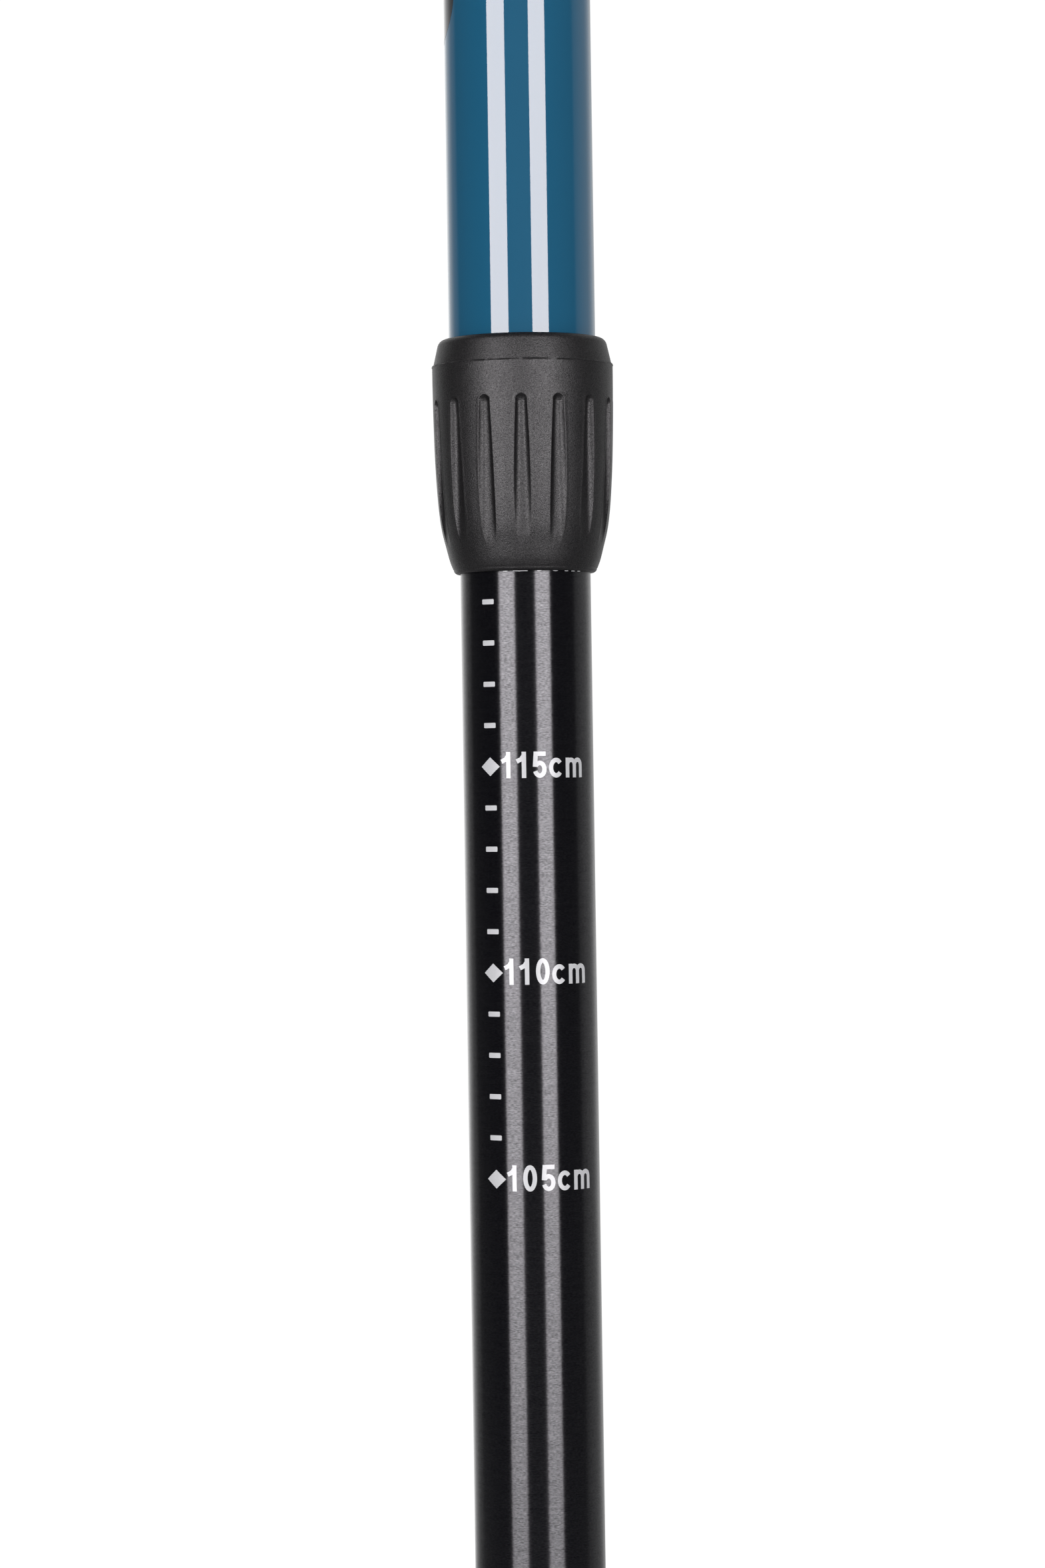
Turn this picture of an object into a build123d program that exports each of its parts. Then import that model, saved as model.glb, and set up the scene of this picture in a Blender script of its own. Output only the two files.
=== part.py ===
"""Telescopic trekking pole: three tube sections joined by inner twist locks.

Units are millimetres.  +Z runs up the pole axis towards the grip.  The origin is
on the axis in the middle of the hand hold.  The length scale faces -Y, the
fingers wrap round +X and the wrist strap hangs on -X.  The pole is drawn set to
just under the 120 mark on both sections.
"""
import os
from math import cos, radians, sin

from build123d import *

# ---------------------------------------------------------------- tubes
WALL = 0.7
UPPER_R = 9.0
MIDDLE_R = 8.0
LOWER_R = 7.0
UPPER_BORE = UPPER_R - WALL
MIDDLE_BORE = MIDDLE_R - WALL
LOWER_BORE = LOWER_R - WALL
RUN_FIT = 0.05

# ---------------------------------------------------------------- heights
GRIP_TOP = 75.0
UPPER_TUBE_TOP = 40.0
UPPER_EDGE = -453.0
MIDDLE_EXPOSED = 323.7
LOWER_EDGE = UPPER_EDGE - MIDDLE_EXPOSED
LOWER_EXPOSED = 347.0
TIP_END = LOWER_EDGE - LOWER_EXPOSED
MIDDLE_TUBE_TOP = UPPER_EDGE + 110.0
LOWER_TUBE_TOP = LOWER_EDGE + 105.0
LIP = 4.0
FERRULE_TOP = TIP_END + 95.0
LOWER_TUBE_END = FERRULE_TOP - 22.0

# ---------------------------------------------------------------- collars
UPPER_COLLAR_LENGTH = 29.0
LOWER_COLLAR_LENGTH = 27.0
FLUTES = 15
FLUTE_TURN = -1.2
FLUTE_DEEP = 1.15
FLUTE_LOW = 3.8
FLUTE_HIGH = 21.4
FLUTE_TOP_WIDTH = 1.5
FLUTE_LOW_WIDTH = 2.3
# bulge of the collar over the tube radius, against share of the collar length
COLLAR_BULGE = (
    (0.030, -0.12),
    (0.062, 0.24),
    (0.120, 0.68),
    (0.185, 1.14),
    (0.255, 1.42),
    (0.350, 1.65),
    (0.490, 1.86),
    (0.660, 2.00),
    (0.800, 2.07),
    (0.876, 2.08),
)
RING_START = 0.880

# ---------------------------------------------------------------- twist locks
FLANGE = 2.0
PLUG_DEPTH = 22.0
LOCK_GAP = 0.1
FLOOR = 4.0
EXPANDER_LENGTH = 40.0
CONE_START = 22.0
NUT_LOW = 27.0
NUT_HIGH = 41.0
NUT_TRAVEL = 2.25
STOP_THICK = 1.5
SLOT_WIDTH = 1.7
SLOTS = 3

# ---------------------------------------------------------------- grip
GRIP_LOW = -95.0
BODY_TOP = 72.0
HEAD_X = 4.0
# height, forward offset, half depth, half width
GRIP_RINGS = (
    (-95.0, 0.0, 13.6, 13.2),
    (-88.0, 0.0, 15.2, 14.4),
    (-74.0, 0.3, 14.6, 13.6),
    (-58.0, 1.0, 16.0, 14.0),
    (-42.0, 0.4, 14.8, 13.4),
    (-25.0, 1.2, 16.6, 14.3),
    (-8.0, 0.4, 15.0, 13.5),
    (10.0, 1.0, 16.6, 14.5),
    (25.0, 1.0, 16.4, 14.8),
    (38.0, 2.4, 19.2, 16.2),
    (52.0, 3.6, 22.8, 18.4),
    (64.0, HEAD_X, 23.0, 18.8),
    (BODY_TOP, HEAD_X, 20.4, 16.6),
)
CAP_DEPTH = 4.0
CAP_RX = 17.0
CAP_RY = 13.4

# ---------------------------------------------------------------- strap
PIN_X = -13.0
PIN_Z = 50.0
PIN_R = 2.0
PIN_LENGTH = 28.0
STRAP_WIDTH = 20.0
STRAP_THICK = 1.5
SLOT_Y = 22.0
SLOT_Z = 14.5
SLOT_BACK = -8.6
NECK = 15.0
NECK_DOWN = 38.0

# ---------------------------------------------------------------- lower end
SEAT_R = 6.0
SEAT_TOP = TIP_END + 51.0
SEAT_LOW = TIP_END + 40.0
HOLDER_TOP = TIP_END + 22.0
HOLDER_LOW = TIP_END + 10.0
HOLDER_R = 4.2
BASKET_R = 27.0
BASKET_HOLES = 10


def tube(outer, bore, low, high):
    """Plain round tube on the pole axis with small edge breaks."""
    with BuildPart() as part:
        with Locations((0, 0, low)):
            Cylinder(outer, high - low, align=(Align.CENTER, Align.CENTER, Align.MIN))
            Cylinder(
                bore,
                high - low,
                align=(Align.CENTER, Align.CENTER, Align.MIN),
                mode=Mode.SUBTRACT,
            )
    return part


def flute(floor_r, edge, length):
    """Cutter for one moulded groove: narrow and round on top, wider below."""
    low = edge + FLUTE_LOW * length / UPPER_COLLAR_LENGTH
    high = edge + FLUTE_HIGH * length / UPPER_COLLAR_LENGTH
    top = FLUTE_TOP_WIDTH / 2
    wide = FLUTE_LOW_WIDTH / 2
    knee = low + 0.35 * (high - low)
    with BuildPart() as cutter:
        with BuildSketch(Plane.XZ.offset(floor_r)):
            with BuildLine():
                Line((top, high - top), (wide, knee))
                Line((wide, knee), (wide, low))
                Line((wide, low), (-wide, low))
                Line((-wide, low), (-wide, knee))
                Line((-wide, knee), (-top, high - top))
                RadiusArc((-top, high - top), (top, high - top), top)
            make_face()
        extrude(amount=2.5)
    return cutter


def collar(tube_r, slide_r, edge, length):
    """Ribbed moulding over a tube end; its lower lip guides the next tube."""
    body = [(tube_r + bulge, edge + share * length) for share, bulge in COLLAR_BULGE]
    ring_z = edge + RING_START * length
    top = edge + length
    with BuildPart() as part:
        with BuildSketch(Plane.XZ):
            with BuildLine():
                Line((slide_r + RUN_FIT + 0.15, edge), (tube_r - 0.55, edge))
                Line((tube_r - 0.55, edge), body[0])
                Spline(*body)
                Line(body[-1], (tube_r + 1.95, ring_z))
                Line((tube_r + 1.95, ring_z), (tube_r + 1.35, top - 0.6))
                Line((tube_r + 1.35, top - 0.6), (tube_r + 0.9, top - 0.1))
                Line((tube_r + 0.9, top - 0.1), (tube_r, top))
                Line((tube_r, top), (tube_r, edge + LIP))
                Line((tube_r, edge + LIP), (slide_r + RUN_FIT, edge + LIP))
                Line((slide_r + RUN_FIT, edge + LIP), (slide_r + RUN_FIT, edge + 0.15))
                Line((slide_r + RUN_FIT, edge + 0.15), (slide_r + RUN_FIT + 0.15, edge))
            make_face()
        revolve(axis=Axis.Z)
        groove = flute(tube_r + FLUTE_DEEP, edge, length)
        with PolarLocations(0, FLUTES, start_angle=FLUTE_TURN):
            add(groove.part, mode=Mode.SUBTRACT)
    return part


def plug(bore, outer, hole, top):
    """Flanged plug pressed into the top of a sliding tube."""
    with BuildPart() as part:
        with BuildSketch(Plane.XZ):
            with BuildLine():
                Polyline(
                    (hole, top - PLUG_DEPTH),
                    (bore - 0.5, top - PLUG_DEPTH),
                    (bore, top - PLUG_DEPTH + 1.0),
                    (bore, top),
                    (outer, top),
                    (outer, top + FLANGE - 0.3),
                    (outer - 0.3, top + FLANGE),
                    (hole, top + FLANGE),
                    close=True,
                )
            make_face()
        revolve(axis=Axis.Z)
    return part


def spindle(radius, shoulder, top):
    """Lock screw with the turned shoulder that keeps the expander in place."""
    base = top + FLANGE + LOCK_GAP
    shoulder_z = base + FLOOR + LOCK_GAP
    end = base + NUT_HIGH + NUT_TRAVEL + 0.35 + STOP_THICK
    low = top - PLUG_DEPTH + 2.0
    with BuildPart() as part:
        with Locations((0, 0, low)):
            Cylinder(radius, end - low, align=(Align.CENTER, Align.CENTER, Align.MIN))
        with Locations((0, 0, shoulder_z)):
            Cylinder(shoulder, 1.4, align=(Align.CENTER, Align.CENTER, Align.MIN))
        chamfer(part.edges().sort_by(Axis.Z)[-1], 0.4)
        chamfer(part.edges().sort_by(Axis.Z)[0], 0.4)
    return part


def spindle_stop(radius, outer, top):
    """Disc on the screw end that keeps the cone nut from leaving."""
    low = top + FLANGE + LOCK_GAP + NUT_HIGH + NUT_TRAVEL + 0.35
    with BuildPart() as part:
        with Locations((0, 0, low)):
            Cylinder(outer, STOP_THICK - 0.5, align=(Align.CENTER, Align.CENTER, Align.MIN))
            Cylinder(
                radius,
                STOP_THICK,
                align=(Align.CENTER, Align.CENTER, Align.MIN),
                mode=Mode.SUBTRACT,
            )
    return part


def cone_radius(small, large, height):
    """Bore radius of the expander's taper at a height over its foot."""
    return small + (large - small) * (height - CONE_START) / (EXPANDER_LENGTH - CONE_START)


def expander(outer, small, large, hole, top):
    """Slit plastic sleeve that spreads against the bore of the outer tube."""
    foot = top + FLANGE + LOCK_GAP
    head = foot + EXPANDER_LENGTH
    with BuildPart() as part:
        with BuildSketch(Plane.XZ):
            with BuildLine():
                Polyline(
                    (hole, foot),
                    (outer - 0.8, foot),
                    (outer, foot + 0.8),
                    (outer, head - 0.8),
                    (outer - 0.6, head),
                    (large, head),
                    (small, foot + CONE_START),
                    (small, foot + FLOOR),
                    (hole, foot + FLOOR),
                    close=True,
                )
            make_face()
        revolve(axis=Axis.Z)
        with BuildPart(mode=Mode.PRIVATE) as slit:
            with Locations((small, 0, foot + 9.0)):
                Box(
                    2 * outer,
                    SLOT_WIDTH,
                    EXPANDER_LENGTH,
                    align=(Align.MIN, Align.CENTER, Align.MIN),
                )
            with Locations((small - 1.0, 0, foot + 9.0)):
                Box(2.0, SLOT_WIDTH, EXPANDER_LENGTH, align=(Align.MIN, Align.CENTER, Align.MIN))
        with PolarLocations(0, SLOTS, start_angle=90):
            add(slit.part, mode=Mode.SUBTRACT)
        for groove in range(3):
            with Locations((0, 0, foot + 13.0 + 8.0 * groove)):
                with BuildSketch(mode=Mode.PRIVATE) as cut:
                    Circle(outer + 1)
                    Circle(outer - 0.5, mode=Mode.SUBTRACT)
                extrude(cut.sketch, amount=1.2, mode=Mode.SUBTRACT)
    return part


def cone_nut(outer, small, large, hole, top):
    """Cone on the screw thread with three keys running in the expander slits."""
    foot = top + FLANGE + LOCK_GAP
    low_r = cone_radius(small, large, NUT_LOW) - 0.15
    high_r = cone_radius(small, large, NUT_HIGH) - 0.15
    with BuildPart() as part:
        with BuildSketch(Plane.XZ):
            with BuildLine():
                Polyline(
                    (hole, foot + NUT_LOW),
                    (low_r, foot + NUT_LOW),
                    (high_r, foot + NUT_HIGH),
                    (hole, foot + NUT_HIGH),
                    close=True,
                )
            make_face()
        revolve(axis=Axis.Z)
        with PolarLocations(0, SLOTS, start_angle=90):
            with Locations((hole + 1.0, 0, foot + NUT_LOW + 1.0)):
                Box(
                    outer - 0.7 - hole - 1.0,
                    SLOT_WIDTH - 0.6,
                    NUT_HIGH - NUT_LOW - 1.0,
                    align=(Align.MIN, Align.CENTER, Align.MIN),
                )
    return part


def grip_body():
    """Moulded hand grip with finger swells, head slot for the strap and bore."""
    with BuildPart() as part:
        for height, shift, depth, width in GRIP_RINGS:
            with BuildSketch(Plane.XY.offset(height)):
                with Locations((shift, 0)):
                    Ellipse(depth, width)
        loft()
        fillet(part.faces().sort_by(Axis.Z)[-1].edges(), 2.2)
        fillet(part.faces().sort_by(Axis.Z)[0].edges(), 1.5)
        with Locations((0, 0, GRIP_LOW - 1)):
            Cylinder(
                UPPER_R,
                UPPER_TUBE_TOP - GRIP_LOW + 1,
                align=(Align.CENTER, Align.CENTER, Align.MIN),
                mode=Mode.SUBTRACT,
            )
        with BuildSketch(Plane.XY.offset(BODY_TOP)):
            with Locations((HEAD_X, 0)):
                Ellipse(CAP_RX, CAP_RY)
        extrude(amount=-CAP_DEPTH, mode=Mode.SUBTRACT)
        with Locations((SLOT_BACK, 0, PIN_Z)):
            Box(
                40,
                SLOT_Y,
                SLOT_Z,
                align=(Align.MAX, Align.CENTER, Align.CENTER),
                mode=Mode.SUBTRACT,
            )
        with Locations((PIN_X, 0, PIN_Z)):
            Cylinder(PIN_R, PIN_LENGTH, rotation=(90, 0, 0), mode=Mode.SUBTRACT)
    return part


def grip_cap():
    """Hard cap let into the head, domed on top."""
    with BuildPart() as part:
        with BuildSketch(Plane.XY.offset(BODY_TOP - CAP_DEPTH)):
            with Locations((HEAD_X, 0)):
                Ellipse(CAP_RX, CAP_RY)
        extrude(amount=GRIP_TOP - BODY_TOP + CAP_DEPTH)
        fillet(part.faces().sort_by(Axis.Z)[-1].edges(), 2.4)
    return part


def strap_pin():
    """Steel cross pin that carries the strap."""
    with BuildPart() as part:
        with Locations((PIN_X, 0, PIN_Z)):
            Cylinder(PIN_R, PIN_LENGTH, rotation=(90, 0, 0))
    return part


def strap_point(along, across):
    """Point in the XZ plane measured along and across the sewn neck."""
    turn = radians(NECK_DOWN)
    x = PIN_X - along * cos(turn) - across * sin(turn)
    z = PIN_Z - along * sin(turn) + across * cos(turn)
    return (x, z)


def wrist_strap():
    """Webbing loop: an eye round the pin, a sewn neck and the open hand loop."""
    eye = PIN_R + 0.15
    half = STRAP_THICK / 2
    with BuildPart() as part:
        with BuildSketch(Plane.XZ):
            with Locations((PIN_X, PIN_Z)):
                Circle(eye + STRAP_THICK)
            with BuildLine():
                Polyline(
                    strap_point(0, STRAP_THICK),
                    strap_point(NECK, STRAP_THICK),
                    strap_point(NECK, -STRAP_THICK),
                    strap_point(0, -STRAP_THICK),
                    close=True,
                )
            make_face()
            with Locations((PIN_X, PIN_Z)):
                Circle(eye, mode=Mode.SUBTRACT)
            with BuildLine() as middle:
                Spline(
                    strap_point(NECK - 0.6, half),
                    strap_point(NECK + 10, 2.2),
                    (-50.0, 8.0),
                    (-64.0, -44.0),
                    (-62.0, -94.0),
                    (-45.0, -116.0),
                    (-29.0, -94.0),
                    (-26.0, -44.0),
                    (-26.0, 8.0),
                    strap_point(NECK + 6, -2.6),
                    strap_point(NECK - 0.6, -half),
                    tangents=(
                        (-cos(radians(NECK_DOWN)), -sin(radians(NECK_DOWN))),
                        (cos(radians(NECK_DOWN)), sin(radians(NECK_DOWN))),
                    ),
                )
            trace(middle.edges(), line_width=STRAP_THICK)
        extrude(amount=STRAP_WIDTH / 2, both=True)
    return part


def ferrule():
    """Moulded lower end over the lower tube, with the snap seat of the basket."""
    with BuildPart() as part:
        with BuildSketch(Plane.XZ):
            with BuildLine():
                Polyline(
                    (0, HOLDER_LOW + 3.0),
                    (2.6, HOLDER_LOW + 3.0),
                    (2.6, HOLDER_TOP - 4.0),
                    (3.2, HOLDER_TOP - 4.0),
                    (3.2, HOLDER_TOP),
                    (4.6, HOLDER_TOP),
                    (5.5, SEAT_LOW - 3.4),
                    (5.5, SEAT_LOW - 2.0),
                    (6.35, SEAT_LOW - 0.6),
                    (6.35, SEAT_LOW - 0.15),
                    (SEAT_R, SEAT_LOW - 0.15),
                    (SEAT_R, SEAT_TOP + 0.15),
                    (7.6, SEAT_TOP + 0.15),
                    (7.6, SEAT_TOP + 2.0),
                    (6.9, SEAT_TOP + 3.0),
                    (8.0, FERRULE_TOP - 26.0),
                    (8.2, FERRULE_TOP - 1.0),
                    (7.7, FERRULE_TOP),
                    (LOWER_R, FERRULE_TOP),
                    (LOWER_R, LOWER_TUBE_END),
                    (0, LOWER_TUBE_END),
                    close=True,
                )
            make_face()
        revolve(axis=Axis.Z)
        with BuildSketch(Plane.XY.offset(FERRULE_TOP - 5.0)):
            with PolarLocations(8.35, 12):
                Rectangle(0.7, 1.6)
        extrude(amount=-15.0, mode=Mode.SUBTRACT)
    return part


def tip_holder():
    """Steel sleeve pressed on the spigot of the lower end."""
    with BuildPart() as part:
        with BuildSketch(Plane.XZ):
            with BuildLine():
                Polyline(
                    (2.6, HOLDER_LOW),
                    (HOLDER_R - 0.5, HOLDER_LOW),
                    (HOLDER_R, HOLDER_LOW + 0.8),
                    (HOLDER_R, HOLDER_TOP),
                    (3.2, HOLDER_TOP),
                    (3.2, HOLDER_TOP - 4.0),
                    (2.6, HOLDER_TOP - 4.0),
                    close=True,
                )
            make_face()
        revolve(axis=Axis.Z)
    return part


def carbide_tip():
    """Hard metal point with a hollow ground end that bites on rock."""
    with BuildPart() as part:
        with BuildSketch(Plane.XZ):
            with BuildLine():
                Polyline(
                    (0, HOLDER_LOW + 3.0),
                    (2.6, HOLDER_LOW + 3.0),
                    (2.6, HOLDER_LOW - 1.0),
                    (2.1, HOLDER_LOW - 4.0),
                    (2.1, TIP_END + 0.5),
                    (1.8, TIP_END),
                    (1.5, TIP_END),
                    (0, TIP_END + 0.9),
                    close=True,
                )
            make_face()
        revolve(axis=Axis.Z)
        with BuildSketch(Plane.XY.offset(TIP_END)):
            with PolarLocations(2.25, 8):
                Circle(0.42)
        extrude(amount=4.0, mode=Mode.SUBTRACT)
    return part


def basket():
    """Trekking basket: hub, dished web with drop-shaped openings and a rim."""
    hub = SEAT_R + RUN_FIT
    with BuildPart() as part:
        with BuildSketch(Plane.XZ):
            with BuildLine():
                Polyline(
                    (hub, SEAT_LOW),
                    (8.6, SEAT_LOW),
                    (8.9, SEAT_LOW + 2.0),
                    (16.0, SEAT_LOW + 3.4),
                    (24.2, SEAT_LOW + 6.6),
                    (25.8, SEAT_LOW + 6.0),
                    (BASKET_R, SEAT_LOW + 7.0),
                    (BASKET_R, SEAT_LOW + 8.6),
                    (25.6, SEAT_LOW + 9.4),
                    (15.6, SEAT_LOW + 5.4),
                    (9.6, SEAT_LOW + 4.2),
                    (8.9, SEAT_TOP),
                    (hub, SEAT_TOP),
                    close=True,
                )
            make_face()
        revolve(axis=Axis.Z)
        with BuildSketch(Plane.XY.offset(SEAT_LOW)):
            with PolarLocations(17.2, BASKET_HOLES):
                SlotOverall(10.5, 5.2)
        extrude(amount=12.0, mode=Mode.SUBTRACT)
    return part


def save(part, name):
    """Write one named piece."""
    part.part.label = name
    export_step(part.part, "parts/" + name + ".step")


def main():
    """Build and write every piece of the pole."""
    os.makedirs("parts", exist_ok=True)

    save(grip_body(), "grip_body")
    save(grip_cap(), "grip_cap")
    save(strap_pin(), "strap_pin")
    save(wrist_strap(), "wrist_strap")
    save(tube(UPPER_R, UPPER_BORE, UPPER_EDGE + LIP, UPPER_TUBE_TOP), "upper_tube")
    save(collar(UPPER_R, MIDDLE_R, UPPER_EDGE, UPPER_COLLAR_LENGTH), "upper_collar")

    save(expander(UPPER_BORE - RUN_FIT, 5.0, 6.6, 2.55, MIDDLE_TUBE_TOP), "upper_expander")
    save(cone_nut(UPPER_BORE - RUN_FIT, 5.0, 6.6, 2.55, MIDDLE_TUBE_TOP), "upper_cone_nut")
    save(spindle(2.5, 3.8, MIDDLE_TUBE_TOP), "upper_spindle")
    save(spindle_stop(2.5, 3.6, MIDDLE_TUBE_TOP), "upper_spindle_stop")
    save(plug(MIDDLE_BORE, MIDDLE_R, 2.5, MIDDLE_TUBE_TOP), "upper_plug")

    save(tube(MIDDLE_R, MIDDLE_BORE, LOWER_EDGE + LIP, MIDDLE_TUBE_TOP), "middle_tube")
    save(collar(MIDDLE_R, LOWER_R, LOWER_EDGE, LOWER_COLLAR_LENGTH), "lower_collar")

    save(expander(MIDDLE_BORE - RUN_FIT, 4.3, 5.7, 2.3, LOWER_TUBE_TOP), "lower_expander")
    save(cone_nut(MIDDLE_BORE - RUN_FIT, 4.3, 5.7, 2.3, LOWER_TUBE_TOP), "lower_cone_nut")
    save(spindle(2.25, 3.4, LOWER_TUBE_TOP), "lower_spindle")
    save(spindle_stop(2.25, 3.2, LOWER_TUBE_TOP), "lower_spindle_stop")
    save(plug(LOWER_BORE, LOWER_R, 2.25, LOWER_TUBE_TOP), "lower_plug")

    save(tube(LOWER_R, LOWER_BORE, LOWER_TUBE_END, LOWER_TUBE_TOP), "lower_tube")
    save(ferrule(), "ferrule")
    save(tip_holder(), "tip_holder")
    save(carbide_tip(), "carbide_tip")
    save(basket(), "basket")


if __name__ == "__main__":
    main()
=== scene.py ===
import logging
import math
from dataclasses import dataclass, field
from enum import Enum
from typing import Callable, Sequence

import bmesh
import bpy
import numpy as np
from mathutils import Matrix, Vector


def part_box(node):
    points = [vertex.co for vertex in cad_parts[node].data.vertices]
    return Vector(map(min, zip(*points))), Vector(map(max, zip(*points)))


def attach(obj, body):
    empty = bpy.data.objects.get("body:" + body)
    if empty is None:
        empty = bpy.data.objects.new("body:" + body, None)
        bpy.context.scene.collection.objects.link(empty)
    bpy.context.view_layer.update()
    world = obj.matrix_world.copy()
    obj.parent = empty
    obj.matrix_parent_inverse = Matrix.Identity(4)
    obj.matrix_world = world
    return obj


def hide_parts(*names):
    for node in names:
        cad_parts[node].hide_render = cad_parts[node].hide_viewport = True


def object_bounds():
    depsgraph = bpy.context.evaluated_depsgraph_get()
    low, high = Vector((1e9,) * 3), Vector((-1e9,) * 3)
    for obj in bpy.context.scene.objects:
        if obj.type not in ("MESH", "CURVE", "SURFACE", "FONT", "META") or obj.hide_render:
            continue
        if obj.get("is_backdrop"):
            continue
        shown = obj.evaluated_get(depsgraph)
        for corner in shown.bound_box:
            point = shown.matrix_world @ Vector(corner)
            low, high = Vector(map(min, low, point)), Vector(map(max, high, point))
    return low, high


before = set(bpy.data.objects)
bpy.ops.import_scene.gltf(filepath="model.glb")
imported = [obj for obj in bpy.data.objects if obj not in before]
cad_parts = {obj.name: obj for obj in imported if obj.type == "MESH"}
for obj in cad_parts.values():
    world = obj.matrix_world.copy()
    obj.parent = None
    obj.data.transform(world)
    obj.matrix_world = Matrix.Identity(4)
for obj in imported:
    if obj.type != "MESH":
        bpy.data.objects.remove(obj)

LOG = logging.getLogger("pole")
MM = 0.001
SHARP = math.radians(38)  # edges steeper than this stay crisp
MATH = "ShaderNodeMath"
NOISE = "ShaderNodeTexNoise"
BUMP = "ShaderNodeBump"

Point = tuple[float, float]
Colour = tuple[float, float, float, float]


# ---- shared helpers ----
def to_linear(code: str) -> Colour:
    """Turn an sRGB hex colour into linear light.

    Args:
        code: six hex digits with a leading hash.

    Returns:
        Red, green, blue and an alpha of one.
    """
    parts = []
    for start in (1, 3, 5):
        value = int(code[start:start + 2], 16) / 255
        parts.append(value / 12.92 if value <= 0.04045 else ((value + 0.055) / 1.055) ** 2.4)
    return (parts[0], parts[1], parts[2], 1.0)


def add_node(
    tree: bpy.types.NodeTree, kind: str, inputs: dict | None = None, **settings: object
) -> bpy.types.Node:
    """Add one node with its settings, constants and incoming links.

    Args:
        tree: node tree that gets the node.
        kind: Blender's node type name.
        inputs: a constant or a source socket for each socket's name or index.
        settings: properties of the node itself.

    Returns:
        The new node.
    """
    node = tree.nodes.new(kind)
    for key, value in settings.items():
        setattr(node, key, value)
    for key, value in (inputs or {}).items():
        if isinstance(value, bpy.types.NodeSocket):
            tree.links.new(value, node.inputs[key])
        else:
            node.inputs[key].default_value = value
    return node


def smooth_curve(points: Sequence[Sequence[float]], steps: int, closed: bool = False) -> np.ndarray:
    """Run a centripetal-like Catmull-Rom curve through points.

    Args:
        points: control points, each a row of any width.
        steps: samples per span.
        closed: join the last point to the first.

    Returns:
        One row per sample.
    """
    rows = np.array(points, dtype=float)
    count = len(rows)
    if closed:
        padded = np.vstack([rows[-1], rows, rows[0], rows[1]])
        spans = count
    else:
        padded = np.vstack([2 * rows[0] - rows[1], rows, 2 * rows[-1] - rows[-2]])
        spans = count - 1
    out = []
    for span in range(spans):
        a, b, c, d = padded[span:span + 4]
        for step in range(steps):
            t = step / steps
            out.append(
                0.5 * (2 * b + (c - a) * t + (2 * a - 5 * b + 4 * c - d) * t * t
                       + (3 * b - a - 3 * c + d) * t ** 3)
            )
    if not closed:
        out.append(rows[-1])
    return np.array(out)


def rounded(points: Sequence[tuple[float, float, float]], steps: int = 5) -> list[Point]:
    """Round the corners of a closed outline.

    Args:
        points: x, y and corner radius of each corner, in order.
        steps: facets per rounded corner.

    Returns:
        The outline with each corner as a short smooth bend.
    """
    out: list[Point] = []
    count = len(points)
    for index, (x, y, radius) in enumerate(points):
        here = Vector((x, y))
        before = Vector(points[index - 1][:2]) - here
        after = Vector(points[(index + 1) % count][:2]) - here
        if radius <= 0:
            out.append((x, y))
            continue
        reach = min(radius, 0.48 * before.length, 0.48 * after.length)
        first = here + before.normalized() * reach
        last = here + after.normalized() * reach
        for step in range(steps + 1):
            t = step / steps
            point = first * (1 - t) ** 2 + here * 2 * t * (1 - t) + last * t * t
            out.append((point.x, point.y))
    return out


def mesh_object(
    name: str,
    verts: Sequence[Sequence[float]],
    faces: Sequence[Sequence[int]],
    sharp: float = 38.0,
) -> bpy.types.Object:
    """Make an object at the origin from points and faces.

    Args:
        name: object name.
        verts: points in metres.
        faces: corner lists.
        sharp: angle in degrees past which an edge stays sharp.

    Returns:
        The linked object, smooth shaded.
    """
    mesh = bpy.data.meshes.new(name)
    mesh.from_pydata([tuple(map(float, v)) for v in verts], [], [tuple(f) for f in faces])
    mesh.update()
    mesh.shade_smooth()
    mesh.set_sharp_from_angle(angle=math.radians(sharp))
    obj = bpy.data.objects.new(name, mesh)
    bpy.context.scene.collection.objects.link(obj)
    return obj


def grid_faces(rows: int, columns: int, wrap_rows: bool, wrap_columns: bool) -> list[list[int]]:
    """List the quads of a regular grid.

    Args:
        rows: points along the first direction.
        columns: points along the second direction.
        wrap_rows: join the last row to the first.
        wrap_columns: join the last column to the first.

    Returns:
        Corner lists of the quads.
    """
    faces = []
    for row in range(rows if wrap_rows else rows - 1):
        below = (row + 1) % rows
        for column in range(columns if wrap_columns else columns - 1):
            side = (column + 1) % columns
            faces.append([
                row * columns + column,
                row * columns + side,
                below * columns + side,
                below * columns + column,
            ])
    return faces


def lathe(name: str, outline: Sequence[Point], segments: int, closed: bool = True) -> bpy.types.Object:
    """Turn an outline round the pole axis.

    Args:
        name: object name.
        outline: radius and height pairs in metres, counter-clockwise, outside going up.
        segments: facets round the axis.
        closed: join the last point to the first; otherwise both ends lie on the axis.

    Returns:
        The turned object.
    """
    inner = list(outline) if closed else list(outline[1:-1])
    verts = []
    for radius, height in inner:
        for step in range(segments):
            turn = 2 * math.pi * step / segments
            verts.append((radius * math.cos(turn), radius * math.sin(turn), height))
    faces = grid_faces(len(inner), segments, closed, True)
    if not closed:
        low = len(verts)
        verts.append((0.0, 0.0, outline[0][1]))
        verts.append((0.0, 0.0, outline[-1][1]))
        last = (len(inner) - 1) * segments
        for step in range(segments):
            side = (step + 1) % segments
            faces.append([low, side, step])
            faces.append([low + 1, last + step, last + side])
    return mesh_object(name, verts, faces)


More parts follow.
